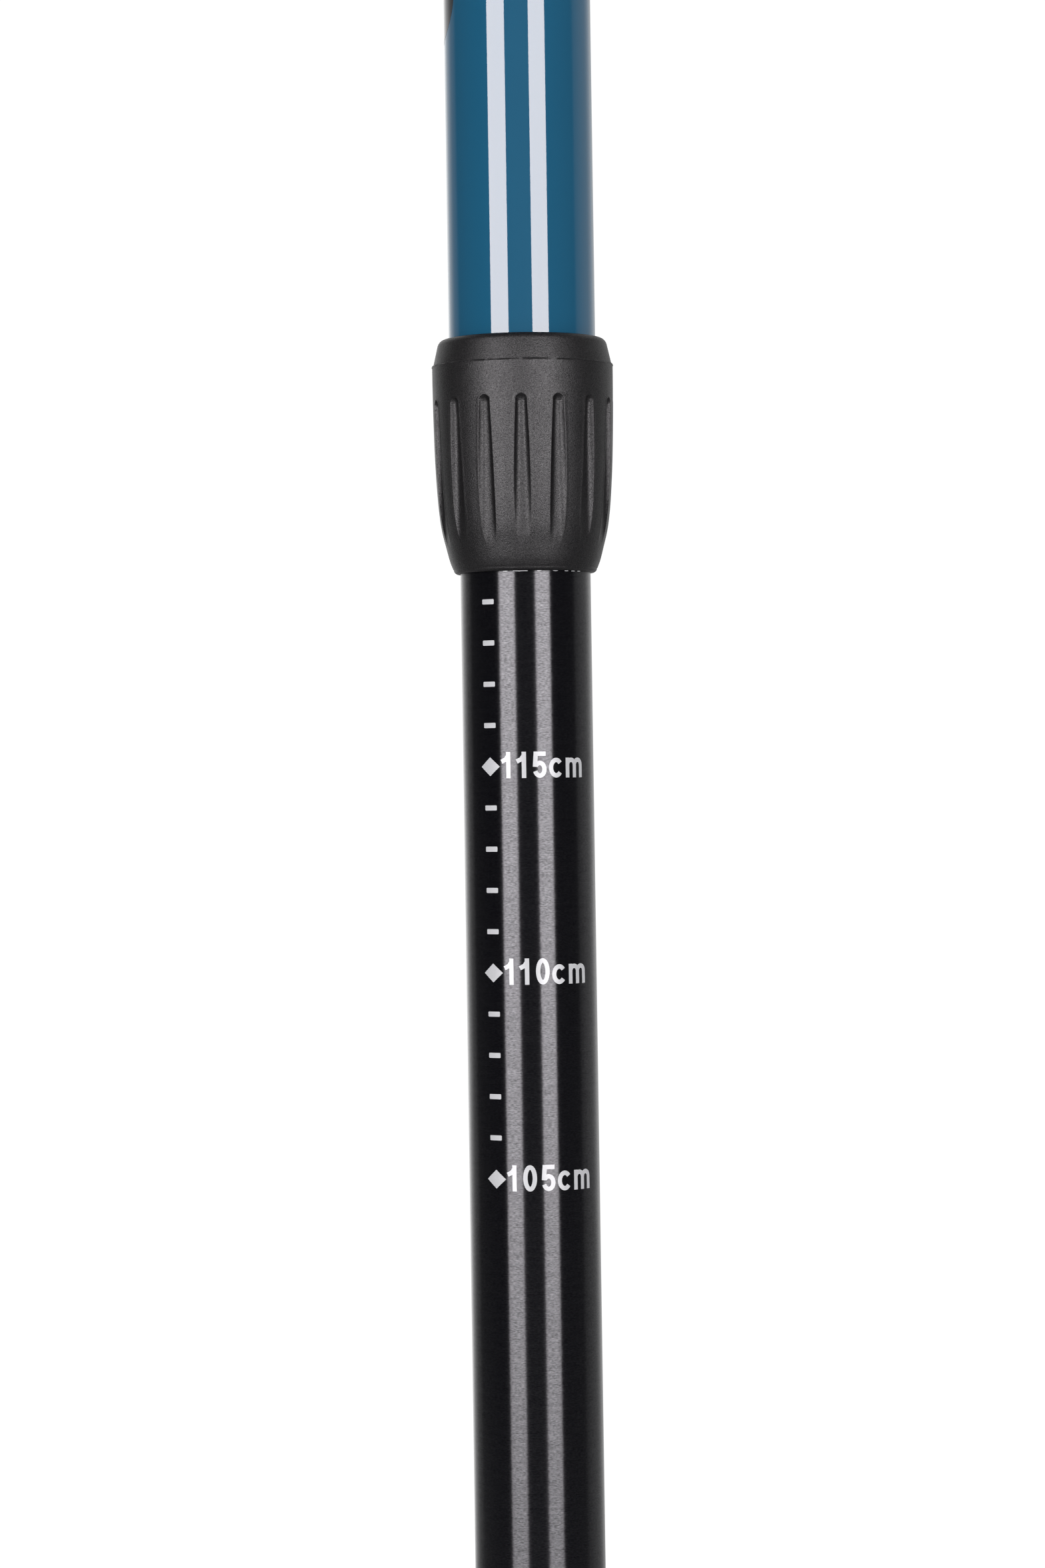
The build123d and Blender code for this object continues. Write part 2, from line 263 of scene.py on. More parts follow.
def join(name: str, parts: Sequence[bpy.types.Object]) -> bpy.types.Object:
    """Join finished objects into one, keeping their materials.

    Args:
        name: name of the joined object.
        parts: objects at the origin.

    Returns:
        The joined object.
    """
    with bpy.context.temp_override(
        active_object=parts[0], object=parts[0], selected_objects=list(parts),
        selected_editable_objects=list(parts),
    ):
        bpy.ops.object.join()
    parts[0].name = name
    parts[0].data.name = name
    return parts[0]


def set_material(obj: bpy.types.Object, material: bpy.types.Material) -> None:
    """Give an object one material.

    Args:
        obj: object whose slots are replaced.
        material: the finish.
    """
    obj.data.materials.clear()
    obj.data.materials.append(material)


# ---- geometry node trees ----
class Rule:
    """A geometry node tree that is applied to a mesh and then removed."""

    def __init__(self, name: str, sockets: dict[str, str]) -> None:
        """Start the tree with its inputs.

        Args:
            name: name of the tree.
            sockets: input names with their socket types.
        """
        self.tree = bpy.data.node_groups.new(name, "GeometryNodeTree")
        face = self.tree.interface
        face.new_socket(name="Geometry", in_out="INPUT", socket_type="NodeSocketGeometry")
        for key, kind in sockets.items():
            face.new_socket(name=key, in_out="INPUT", socket_type="NodeSocket" + kind)
        face.new_socket(name="Material", in_out="INPUT", socket_type="NodeSocketMaterial")
        face.new_socket(name="Geometry", in_out="OUTPUT", socket_type="NodeSocketGeometry")
        self.inputs = self.tree.nodes.new("NodeGroupInput").outputs

    def add(self, kind: str, inputs: dict | None = None, **settings: object) -> bpy.types.Node:
        """Add a node to the tree; the arguments are those of add_node."""
        return add_node(self.tree, kind, inputs, **settings)

    def finish(self, geometry: bpy.types.NodeSocket) -> None:
        """Close the tree: real geometry, then its material.

        Args:
            geometry: the last geometry socket.
        """
        real = self.add("GeometryNodeRealizeInstances", {"Geometry": geometry})
        dressed = self.add(
            "GeometryNodeSetMaterial", {"Geometry": real.outputs[0], "Material": self.inputs["Material"]}
        )
        end = self.tree.nodes.new("NodeGroupOutput")
        self.tree.links.new(dressed.outputs[0], end.inputs[0])

    def apply(
        self, obj: bpy.types.Object, material: bpy.types.Material, **values: object
    ) -> bpy.types.Object:
        """Run the tree on an object and keep the resulting mesh.

        Args:
            obj: object with the input mesh.
            material: finish of the result.
            values: inputs by name, with underscores for spaces.

        Returns:
            The same object with its new mesh.
        """
        modifier = obj.modifiers.new(self.tree.name, "NODES")
        modifier.node_group = self.tree
        given = {key.replace("_", " "): value for key, value in values.items()}
        given["Material"] = material
        for item in self.tree.interface.items_tree:
            if item.in_out == "INPUT" and item.name in given:
                modifier[item.identifier] = given[item.name]
        obj.update_tag()
        depsgraph = bpy.context.evaluated_depsgraph_get()
        mesh = bpy.data.meshes.new_from_object(obj.evaluated_get(depsgraph))
        obj.modifiers.clear()
        old = obj.data
        obj.data = mesh
        mesh.name = obj.name
        bpy.data.meshes.remove(old)
        mesh.shade_smooth()
        mesh.set_sharp_from_angle(angle=SHARP)
        return obj


def polar_rule() -> Rule:
    """Build the tree that repeats a sector round the pole axis and welds it.

    Returns:
        The finished tree.
    """
    rule = Rule("Polar repeat", {"Count": "Int", "Turn": "Float", "Weld": "Float"})
    points = rule.add("GeometryNodePoints", {"Count": rule.inputs["Count"]})
    index = rule.add("GeometryNodeInputIndex").outputs[0]
    share = rule.add(MATH, {0: index, 1: rule.inputs["Count"]}, operation="DIVIDE").outputs[0]
    turn = rule.add(
        MATH, {0: share, 1: 2 * math.pi, 2: rule.inputs["Turn"]}, operation="MULTIPLY_ADD"
    ).outputs[0]
    angles = rule.add("ShaderNodeCombineXYZ", {"Z": turn})
    copies = rule.add(
        "GeometryNodeInstanceOnPoints",
        {"Points": points.outputs[0], "Instance": rule.inputs["Geometry"], "Rotation": angles.outputs[0]},
    )
    real = rule.add("GeometryNodeRealizeInstances", {"Geometry": copies.outputs[0]})
    weld = rule.add(
        "GeometryNodeMergeByDistance", {"Geometry": real.outputs[0], "Distance": rule.inputs["Weld"]}
    )
    rule.finish(weld.outputs[0])
    return rule


def row_rule() -> Rule:
    """Build the tree that repeats a flat mark up the scale and wraps it on the tube.

    The mark is drawn flat: X is the distance round the tube from its front line
    and Z the height.  The skin gets a printed layer's thickness.

    Returns:
        The finished tree.
    """
    rule = Rule("Wrapped row", {"Count": "Int", "Pitch": "Float", "Radius": "Float", "Film": "Float"})
    step = rule.add("ShaderNodeCombineXYZ", {"Z": rule.inputs["Pitch"]})
    line = rule.add("GeometryNodeMeshLine", {"Count": rule.inputs["Count"], "Offset": step.outputs[0]})
    copies = rule.add(
        "GeometryNodeInstanceOnPoints", {"Points": line.outputs[0], "Instance": rule.inputs["Geometry"]}
    )
    real = rule.add("GeometryNodeRealizeInstances", {"Geometry": copies.outputs[0]})
    place = rule.add("ShaderNodeSeparateXYZ", {0: rule.add("GeometryNodeInputPosition").outputs[0]})
    angle = rule.add(
        MATH, {0: place.outputs["X"], 1: rule.inputs["Radius"]}, operation="DIVIDE"
    ).outputs[0]
    depth = rule.add(MATH, {0: rule.inputs["Radius"], 1: place.outputs["Y"]}, operation="ADD").outputs[0]
    wrapped = rule.add(
        "ShaderNodeCombineXYZ",
        {
            "X": rule.add(
                MATH,
                {0: rule.add(MATH, {0: angle}, operation="SINE").outputs[0], 1: depth},
                operation="MULTIPLY",
            ).outputs[0],
            "Y": rule.add(
                MATH,
                {
                    0: rule.add(MATH, {0: angle}, operation="COSINE").outputs[0],
                    1: rule.add(MATH, {0: depth, 1: -1.0}, operation="MULTIPLY").outputs[0],
                },
                operation="MULTIPLY",
            ).outputs[0],
            "Z": place.outputs["Z"],
        },
    )
    bent = rule.add(
        "GeometryNodeSetPosition", {"Geometry": real.outputs[0], "Position": wrapped.outputs[0]}
    )
    skin = rule.add(
        "GeometryNodeExtrudeMesh",
        {"Individual": False, "Mesh": bent.outputs[0], "Offset Scale": rule.inputs["Film"]},
        mode="FACES",
    )
    back = rule.add("GeometryNodeFlipFaces", {"Mesh": bent.outputs[0]})
    both = rule.add("GeometryNodeJoinGeometry")
    rule.tree.links.new(skin.outputs[0], both.inputs[0])
    rule.tree.links.new(back.outputs[0], both.inputs[0])
    weld = rule.add("GeometryNodeMergeByDistance", {"Distance": 1e-07, "Geometry": both.outputs[0]})
    rule.finish(weld.outputs[0])
    return rule


def flash_rule() -> Rule:
    """Build the tree that makes the mould's parting line ragged.

    Returns:
        The finished tree.
    """
    rule = Rule("Parting flash", {"Height": "Float", "Wander": "Float", "Grain": "Float"})
    weight = rule.add(
        "GeometryNodeInputNamedAttribute", {"Name": "flash"}, data_type="FLOAT"
    ).outputs["Attribute"]
    place = rule.add("GeometryNodeInputPosition").outputs[0]
    noise = rule.add(
        NOISE, {"Detail": 3.0, "Roughness": 0.65, "Vector": place, "Scale": rule.inputs["Grain"]}
    )
    crest = rule.add(
        MATH,
        {0: rule.add(MATH, {0: noise.outputs["Fac"], 1: 0.36}, operation="SUBTRACT").outputs[0], 1: 0.0},
        operation="MAXIMUM",
    ).outputs[0]
    level = rule.add(MATH, {0: crest, 1: rule.inputs["Height"]}, operation="MULTIPLY").outputs[0]
    flat = rule.add("ShaderNodeVectorMath", {1: (1.0, 1.0, 0.0), 0: place}, operation="MULTIPLY")
    out = rule.add("ShaderNodeVectorMath", {0: flat.outputs[0]}, operation="NORMALIZE")
    lift = rule.add(
        "ShaderNodeVectorMath",
        {
            0: out.outputs[0],
            "Scale": rule.add(MATH, {0: level, 1: weight}, operation="MULTIPLY").outputs[0],
        },
        operation="SCALE",
    )
    slow = rule.add(NOISE, {"Scale": 260.0, "Detail": 2.0, "Vector": place})
    drift = rule.add(
        MATH,
        {
            0: rule.add(MATH, {0: slow.outputs["Fac"], 1: 0.5}, operation="SUBTRACT").outputs[0],
            1: rule.inputs["Wander"],
        },
        operation="MULTIPLY",
    ).outputs[0]
    shift = rule.add(
        "ShaderNodeCombineXYZ",
        {"Z": rule.add(MATH, {0: drift, 1: weight}, operation="MULTIPLY").outputs[0]},
    )
    both = rule.add("ShaderNodeVectorMath", {0: lift.outputs[0], 1: shift.outputs[0]}, operation="ADD")
    moved = rule.add(
        "GeometryNodeSetPosition", {"Geometry": rule.inputs["Geometry"], "Offset": both.outputs[0]}
    )
    rule.finish(moved.outputs[0])
    return rule


def stitch_rule() -> Rule:
    """Build the tree that lays raised thread stitches along drawn lines.

    Returns:
        The finished tree.
    """
    rule = Rule("Stitches", {"Pitch": "Float", "Thread": "Float"})
    line = rule.add("GeometryNodeMeshToCurve", {"Mesh": rule.inputs["Geometry"]})
    even = rule.add(
        "GeometryNodeResampleCurve",
        {"Curve": line.outputs[0], "Length": rule.inputs["Pitch"]},
        mode="LENGTH",
    )
    dash = rule.add(
        "GeometryNodeMeshUVSphere", {"Segments": 8, "Rings": 6, "Radius": rule.inputs["Thread"]}
    )
    long = rule.add(
        MATH,
        {
            0: rule.add(MATH, {0: rule.inputs["Pitch"], 1: 0.42}, operation="MULTIPLY").outputs[0],
            1: rule.inputs["Thread"],
        },
        operation="DIVIDE",
    ).outputs[0]
    stretch = rule.add("ShaderNodeCombineXYZ", {"X": 1.0, "Y": 1.0, "Z": long})
    tangent = rule.add("GeometryNodeInputTangent").outputs[0]
    aim = rule.add("FunctionNodeAlignRotationToVector", {"Vector": tangent}, axis="Z")
    copies = rule.add(
        "GeometryNodeInstanceOnPoints",
        {
            "Points": even.outputs[0],
            "Instance": dash.outputs["Mesh"],
            "Rotation": aim.outputs[0],
            "Scale": stretch.outputs[0],
        },
    )
    rule.finish(copies.outputs[0])
    return rule


# ---- finishes ----
class Finish:
    """Common start of every procedural material."""

    name: str

    def start(self) -> tuple[bpy.types.Material, bpy.types.NodeTree, bpy.types.Node]:
        """Make the material with its shader and output.

        Returns:
            The material, its tree and its Principled shader.
        """
        material = bpy.data.materials.new(self.name)
        material.use_nodes = True
        tree = material.node_tree
        tree.nodes.clear()
        shader = add_node(tree, "ShaderNodeBsdfPrincipled")
        add_node(tree, "ShaderNodeOutputMaterial", {"Surface": shader.outputs[0]})
        return material, tree, shader

    @staticmethod
    def place(
        tree: bpy.types.NodeTree, scale: tuple[float, float, float] = (1, 1, 1)
    ) -> bpy.types.NodeSocket:
        """Give the object coordinates in metres, stretched by scale."""
        spot = add_node(tree, "ShaderNodeTexCoord").outputs["Object"]
        return add_node(tree, "ShaderNodeMapping", {"Scale": scale, "Vector": spot}).outputs[0]


def cylinder_coordinates(tree: bpy.types.NodeTree, radius: float) -> bpy.types.NodeSocket:
    """Give arc length round the pole axis, radius and height as a vector.

    Args:
        tree: material node tree.
        radius: radius in metres at which the arc is measured.

    Returns:
        Socket with (arc, radius, height) in metres.
    """
    spot = add_node(tree, "ShaderNodeTexCoord").outputs["Object"]
    parts = add_node(tree, "ShaderNodeSeparateXYZ", {0: spot})
    angle = add_node(
        tree, MATH, {0: parts.outputs["Y"], 1: parts.outputs["X"]}, operation="ARCTAN2"
    ).outputs[0]
    arc = add_node(tree, MATH, {0: angle, 1: radius}, operation="MULTIPLY").outputs[0]
    return add_node(
        tree, "ShaderNodeCombineXYZ", {"Y": radius, "X": arc, "Z": parts.outputs["Z"]}
    ).outputs[0]


@dataclass(frozen=True)
class GlossLacquer(Finish):
    """Coloured clear lacquer over an aluminium tube, sprayed and baked.

    The eye gets a deep even colour with mirror-sharp streaks of light, barely
    rippled by the orange peel of the spray.
    """

    name: str
    colour: str
    roughness: float = 0.02
    peel: float = 1.6 * MM
    cloud: float = 14 * MM
    deeper: str = "#2A7194"

    def build(self) -> bpy.types.Material:
        """Make the material.

        Returns:
            The material.
        """
        material, tree, shader = self.start()
        spot = self.place(tree)
        depth = add_node(tree, NOISE, {"Scale": 1 / self.cloud, "Detail": 2.0, "Vector": spot})
        tone = add_node(
            tree,
            "ShaderNodeMix",
            {
                "A": to_linear(self.colour),
                "B": to_linear(self.deeper),
                "Factor": add_node(
                    tree, MATH, {0: depth.outputs["Fac"], 1: 0.1}, operation="MULTIPLY"
                ).outputs[0],
            },
            data_type="RGBA",
        )
        tree.links.new(tone.outputs["Result"], shader.inputs["Base Color"])
        waves = add_node(tree, NOISE, {"Scale": 1 / self.peel, "Detail": 1.0, "Vector": spot})
        bump = add_node(
            tree, BUMP, {"Strength": 0.35, "Distance": 0.0004 * MM, "Height": waves.outputs["Fac"]}
        )
        tree.links.new(bump.outputs[0], shader.inputs["Normal"])
        shader.inputs["Roughness"].default_value = self.roughness
        shader.inputs["IOR"].default_value = 1.5
        shader.inputs["Specular Tint"].default_value = (1.0, 0.95, 0.90, 1.0)
        return material


@dataclass(frozen=True)
class DyedAnodising(Finish):
    """Black dyed anodising on drawn tube, polished round the axis.

    The eye gets a near-black metal whose highlight is drawn out round the tube
    and broken into fine short dashes.  The polishing lines are far finer than a
    dash on the real tube, so they are drawn as coarse as they need to show.
    """

    name: str
    colour: str
    roughness: float = 0.24
    radius: float = 8 * MM
    # lines per metre round the tube, through it and along it: dashes of 0.4 by 0.15 mm
    fine_lines: tuple[float, float, float] = (2400, 1, 6500)
    # the slower drift between them: patches of 2 by 0.6 mm
    broad_lines: tuple[float, float, float] = (500, 1, 1800)

    def build(self) -> bpy.types.Material:
        """Make the material.

        Returns:
            The material.
        """
        material, tree, shader = self.start()
        spot = cylinder_coordinates(tree, self.radius)
        streaks = add_node(tree, "ShaderNodeMapping", {"Scale": self.fine_lines, "Vector": spot})
        fine = add_node(
            tree, NOISE, {"Scale": 1.0, "Detail": 4.0, "Roughness": 0.6, "Vector": streaks.outputs[0]}
        )
        broad_map = add_node(tree, "ShaderNodeMapping", {"Scale": self.broad_lines, "Vector": spot})
        broad = add_node(tree, NOISE, {"Scale": 1.0, "Detail": 2.0, "Vector": broad_map.outputs[0]})
        level = add_node(
            tree,
            MATH,
            {0: broad.outputs["Fac"], 1: 0.3, 2: fine.outputs["Fac"]},
            operation="MULTIPLY_ADD",
        ).outputs[0]
        rough = add_node(
            tree, MATH, {0: level, 1: 0.08, 2: self.roughness - 0.05}, operation="MULTIPLY_ADD"
        ).outputs[0]
        bump = add_node(tree, BUMP, {"Strength": 0.5, "Distance": 0.0042 * MM, "Height": level})
        tangent = add_node(tree, "ShaderNodeTangent", direction_type="RADIAL", axis="Z")
        tree.links.new(tangent.outputs[0], shader.inputs["Tangent"])
        tree.links.new(bump.outputs[0], shader.inputs["Normal"])
        tree.links.new(rough, shader.inputs["Roughness"])
        shader.inputs["Base Color"].default_value = to_linear(self.colour)
        shader.inputs["IOR"].default_value = 1.5
        tree.links.new(
            add_node(tree, MATH, {0: level, 1: 0.95, 2: -0.24}, operation="MULTIPLY_ADD").outputs[0],
            shader.inputs["Specular IOR Level"],
        )
        shader.inputs["Specular Tint"].default_value = (0.97, 0.97, 1.0, 1.0)
        shader.inputs["Anisotropic"].default_value = 1.0
        shader.inputs["Anisotropic Rotation"].default_value = 0.25
        return material


@dataclass(frozen=True)
class MouldedPlastic(Finish):
    """Injection moulded plastic with the fine grain of a spark-eroded mould.

    The eye gets a dull surface that sparkles where single grains catch the lamp.
    A real grain is a few hundredths of a millimetre and is drawn coarser to show.
    """

    name: str
    colour: str
    grain: float = 0.135 * MM
    depth: float = 0.036 * MM
    roughness: float = 0.42
    shine: float = 0.5

    def build(self) -> bpy.types.Material:
        """Make the material.

        Returns:
            The material.
        """
        material, tree, shader = self.start()
        spot = self.place(tree)
        fine = add_node(
            tree, NOISE, {"Scale": 1 / self.grain, "Detail": 3.0, "Roughness": 0.6, "Vector": spot}
        )
        coarse = add_node(tree, NOISE, {"Scale": 1 / (22 * self.grain), "Detail": 2.0, "Vector": spot})
        bump = add_node(
            tree, BUMP, {"Strength": 1.0, "Distance": self.depth, "Height": fine.outputs["Fac"]}
        )
        rough = add_node(
            tree,
            MATH,
            {0: coarse.outputs["Fac"], 1: 0.1, 2: self.roughness - 0.05},
            operation="MULTIPLY_ADD",
        ).outputs[0]
        base = to_linear(self.colour)
        light = tuple(min(1.0, c * 1.35) for c in base[:3]) + (1.0,)
        tone = add_node(
            tree,
            "ShaderNodeMix",
            {"A": base, "B": light, "Factor": coarse.outputs["Fac"]},
            data_type="RGBA",
        )
        tree.links.new(tone.outputs["Result"], shader.inputs["Base Color"])
        tree.links.new(rough, shader.inputs["Roughness"])
        tree.links.new(bump.outputs[0], shader.inputs["Normal"])
        shader.inputs["IOR"].default_value = 1.5
        speck = add_node(
            tree,
            MATH,
            {0: fine.outputs["Fac"], 1: 3.0 * self.shine, 2: -0.5 * self.shine},
            operation="MULTIPLY_ADD",
        ).outputs[0]
        tree.links.new(speck, shader.inputs["Specular IOR Level"])
        return material


@dataclass(frozen=True)
class ScreenInk(Finish):
    """Opaque ink, screen printed in one pass.

    The eye gets a flat half-gloss white, slightly uneven where the mesh left its
    mark.  The speck is drawn coarser than a real screen's mesh so that it shows.
    """

    name: str
    colour: str
    roughness: float = 0.34
    mesh: float = 0.12 * MM

    def build(self) -> bpy.types.Material:
        """Make the material.

        Returns:
            The material.
        """
        material, tree, shader = self.start()
        spot = self.place(tree)
        speck = add_node(tree, NOISE, {"Scale": 1 / self.mesh, "Detail": 2.0, "Vector": spot})
        base = to_linear(self.colour)
        dull = tuple(c * 0.86 for c in base[:3]) + (1.0,)
        tone = add_node(
            tree,
            "ShaderNodeMix",
            {"A": dull, "B": base, "Factor": speck.outputs["Fac"]},
            data_type="RGBA",
        )
        tree.links.new(tone.outputs["Result"], shader.inputs["Base Color"])
        shader.inputs["Roughness"].default_value = self.roughness
        shader.inputs["IOR"].default_value = 1.5
        return material


@dataclass(frozen=True)
class TurnedMetal(Finish):
    """Bare or plated metal with the fine rings that turning leaves.

    The eye gets grey metal with a highlight that is broken up ring by ring.  The
    rings are drawn wider than a lathe's feed so that they show.
    """

    name: str
    colour: str
    roughness: float = 0.28
    pitch: float = 0.12 * MM

    def build(self) -> bpy.types.Material:
        """Make the material.

        Returns:
            The material.
        """
        material, tree, shader = self.start()
        spot = self.place(tree, (60, 60, 1 / self.pitch))
        rings = add_node(tree, NOISE, {"Scale": 1.0, "Detail": 2.0, "Vector": spot})
        bump = add_node(
            tree, BUMP, {"Strength": 0.6, "Distance": 0.004 * MM, "Height": rings.outputs["Fac"]}
        )
        rough = add_node(
            tree,
            MATH,
            {0: rings.outputs["Fac"], 1: 0.12, 2: self.roughness - 0.06},
            operation="MULTIPLY_ADD",
        ).outputs[0]
        tree.links.new(rough, shader.inputs["Roughness"])
        tree.links.new(bump.outputs[0], shader.inputs["Normal"])
        shader.inputs["Base Color"].default_value = to_linear(self.colour)
        shader.inputs["Metallic"].default_value = 1.0
        return material


@dataclass(frozen=True)
class MouldedRubber(Finish):
    """Soft rubber compound from an etched mould, slightly dusty.

    The eye gets a dark matt surface with a leathery grain and paler worn places.
    """

    name: str
    colour: str
    grain: float = 0.45 * MM

    def build(self) -> bpy.types.Material:
        """Make the material.

        Returns:
            The material.
        """
        material, tree, shader = self.start()
        spot = self.place(tree)
        cells = add_node(tree, "ShaderNodeTexVoronoi", {"Scale": 1 / self.grain, "Vector": spot})
        dust = add_node(tree, NOISE, {"Scale": 1 / (18 * MM), "Detail": 4.0, "Vector": spot})
        bump = add_node(
            tree, BUMP, {"Strength": 0.7, "Distance": 0.03 * MM, "Height": cells.outputs["Distance"]}
        )
        base = to_linear(self.colour)
        pale = tuple(0.8 * c + 0.012 for c in base[:3]) + (1.0,)
        tone = add_node(
            tree, "ShaderNodeMix", {"A": base, "B": pale, "Factor": dust.outputs["Fac"]}, data_type="RGBA"
        )
        tree.links.new(tone.outputs["Result"], shader.inputs["Base Color"])
        rough = add_node(
            tree, MATH, {0: dust.outputs["Fac"], 1: 0.18, 2: 0.52}, operation="MULTIPLY_ADD"
        ).outputs[0]
        tree.links.new(rough, shader.inputs["Roughness"])
        tree.links.new(bump.outputs[0], shader.inputs["Normal"])
        shader.inputs["IOR"].default_value = 1.52
        return material


@dataclass(frozen=True)
class WovenWebbing(Finish):
    """Polyester webbing in a herringbone weave, read from the strap's own UV in metres.

    The eye gets slanting ribs that turn back and forth across the strap, matt with
    a faint nap.  The ribs are drawn coarser than real thread so that they show.
    """

    name: str
    colour: str
    rib: float = 1.1 * MM
    thread: float = 0.55 * MM
    turn_back: float = 2.5 * MM

    def build(self) -> bpy.types.Material:
        """Make the material.

        Returns:
            The material.
        """
        material, tree, shader = self.start()
        uv = add_node(tree, "ShaderNodeUVMap", uv_map="UVMap").outputs[0]
        parts = add_node(tree, "ShaderNodeSeparateXYZ", {0: uv})
        across = add_node(
            tree, MATH, {0: parts.outputs["Y"], 1: self.turn_back}, operation="PINGPONG"
        ).outputs[0]
        slant = add_node(tree, MATH, {0: parts.outputs["X"], 1: across}, operation="ADD").outputs[0]
        wave = add_node(
            tree,
            MATH,
            {
                0: add_node(
                    tree, MATH, {0: slant, 1: 2 * math.pi / self.rib}, operation="MULTIPLY"
                ).outputs[0],
            },
            operation="SINE",
        ).outputs[0]
        warp = add_node(
            tree,
            MATH,
            {
                0: add_node(
                    tree,
                    MATH,
                    {0: parts.outputs["Y"], 1: 2 * math.pi / self.thread},
                    operation="MULTIPLY",
                ).outputs[0],
            },
            operation="SINE",
        ).outputs[0]
        height = add_node(tree, MATH, {0: warp, 1: 0.35, 2: wave}, operation="MULTIPLY_ADD").outputs[0]
        bump = add_node(tree, BUMP, {"Strength": 0.8, "Distance": 0.1 * MM, "Height": height})
        # painted shade and highlight: the colour follows the weave's bump height, paler on the rib crests and
        # darker in the grooves between them
        base = to_linear(self.colour)
        pale = tuple(1.9 * c + 0.004 for c in base[:3]) + (1.0,)
        share = add_node(tree, MATH, {0: height, 1: 0.25, 2: 0.4}, operation="MULTIPLY_ADD").outputs[0]
        tone = add_node(tree, "ShaderNodeMix", {"A": base, "B": pale, "Factor": share}, data_type="RGBA")
        tree.links.new(tone.outputs["Result"], shader.inputs["Base Color"])
        tree.links.new(bump.outputs[0], shader.inputs["Normal"])
        shader.inputs["Roughness"].default_value = 0.78
        shader.inputs["Sheen Weight"].default_value = 0.25
        return material


@dataclass(frozen=True)
class StudioFloor(Finish):
    """Painted studio floor, matt and pale: a quiet even ground without reflections."""

    name: str
    colour: str

    def build(self) -> bpy.types.Material:
        """Make the material.

        Returns:
            The material.
        """
        material, tree, shader = self.start()
        spot = self.place(tree)
        cloud = add_node(tree, NOISE, {"Scale": 3.0, "Detail": 3.0, "Vector": spot})
        rough = add_node(
            tree, MATH, {0: cloud.outputs["Fac"], 1: 0.1, 2: 0.75}, operation="MULTIPLY_ADD"
        ).outputs[0]
        tree.links.new(rough, shader.inputs["Roughness"])
        shader.inputs["Base Color"].default_value = to_linear(self.colour)
        return material


class Stock(Enum):
    """Every finish used on the pole."""

    # deep blue with sharp streaks of light: the upper tube
    LACQUER = GlossLacquer("Blue gloss lacquer on aluminium", "#1F6081")
    # black, as glossy as the lacquer over it: the bar on the upper tube
    BAR_INK = GlossLacquer("Black gloss ink under clear lacquer", "#0B0C0E", 0.05)
    # black metal with a soft dashed highlight: the sliding tubes
    ANODISED = DyedAnodising("Black dyed anodised tube, polished round", "#07070C")
    # dull black with a glittering grain: collars, lower end and basket
    COLLAR = MouldedPlastic("Black nylon, spark-eroded grain", "#0C0B0D", roughness=0.43, shine=0.28)
    # cool flat white: marks and numbers
    INK = ScreenInk("White screen printed ink", "#DEE0E2")
    # dark matt, slightly dusty: the hand hold
    RUBBER = MouldedRubber("Charcoal moulded rubber", "#1A1B1D")
    # smoother and shinier than the rubber under it: the hold's cap
    CAP = MouldedPlastic("Black ABS cap, fine grain", "#141517", 0.10 * MM, 0.004 * MM, 0.34)
    # black ribbed cloth: the strap
    WEBBING = WovenWebbing("Black polyester webbing", "#101114")
    # pale matt dashes on the cloth: its stitches
    THREAD = ScreenInk("Grey bonded sewing thread", "#8B9096", 0.7)
    # warm grey metal: pin, spindles and their stops
    STEEL = TurnedMetal("Zinc plated steel, turned", "#B9B7B0")
    # cooler and brighter: the tip's sleeve
    TIP_STEEL = TurnedMetal("Stainless steel, turned", "#9FA0A2", 0.24)
    # darker and duller: the hard point
    CARBIDE = TurnedMetal("Sintered carbide, ground", "#5E5F61", 0.36)
    # milky off-white: the expanders inside the tubes
    NYLON = MouldedPlastic("Natural nylon, moulded", "#CFCBBE", 0.3 * MM, 0.004 * MM, 0.4)
    # clean red: the cone nuts inside the tubes
    ACETAL = MouldedPlastic("Red acetal, moulded", "#A3231C", 0.3 * MM, 0.003 * MM, 0.32)
    # dry black with a fibrous dullness: the tube plugs
    PLUG = MouldedPlastic("Black glass filled nylon", "#17181A", 0.2 * MM, 0.01 * MM, 0.5)
    # pale and matt: the floor
    FLOOR = StudioFloor("Matt studio floor", "#EDEDEE")


class Paints:
    """Builds each finish once and hands it out."""

    def __init__(self) -> None:
        """Start with nothing built."""
        self._made: dict[Stock, bpy.types.Material] = {}

    def __getitem__(self, stock: Stock) -> bpy.types.Material:
        """Give the material of a finish."""
        if stock not in self._made:
            self._made[stock] = stock.value.build()
        return self._made[stock]


class Rules:
    """The geometry node trees, each built once."""

    def __init__(self) -> None:
        """Build the trees."""
        self.polar = polar_rule()
        self.row = row_rule()
        self.flash = flash_rule()
        self.stitch = stitch_rule()


# ---- placing pieces ----
def hand_over(
    obj: bpy.types.Object, body: str, slot: str, nodes: Sequence[str] = ()
) -> bpy.types.Object:
    """Tie a piece to its body and hide the CAD solids it stands for.

    Args:
        obj: finished piece.
        body: name of the moving body.
        slot: not used.
        nodes: CAD nodes that the piece replaces.

    Returns:
        The same object.
    """
    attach(obj, body)
    if nodes:
        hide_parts(*nodes)
    LOG.info("%s rides on %s", obj.name, body)
    return obj


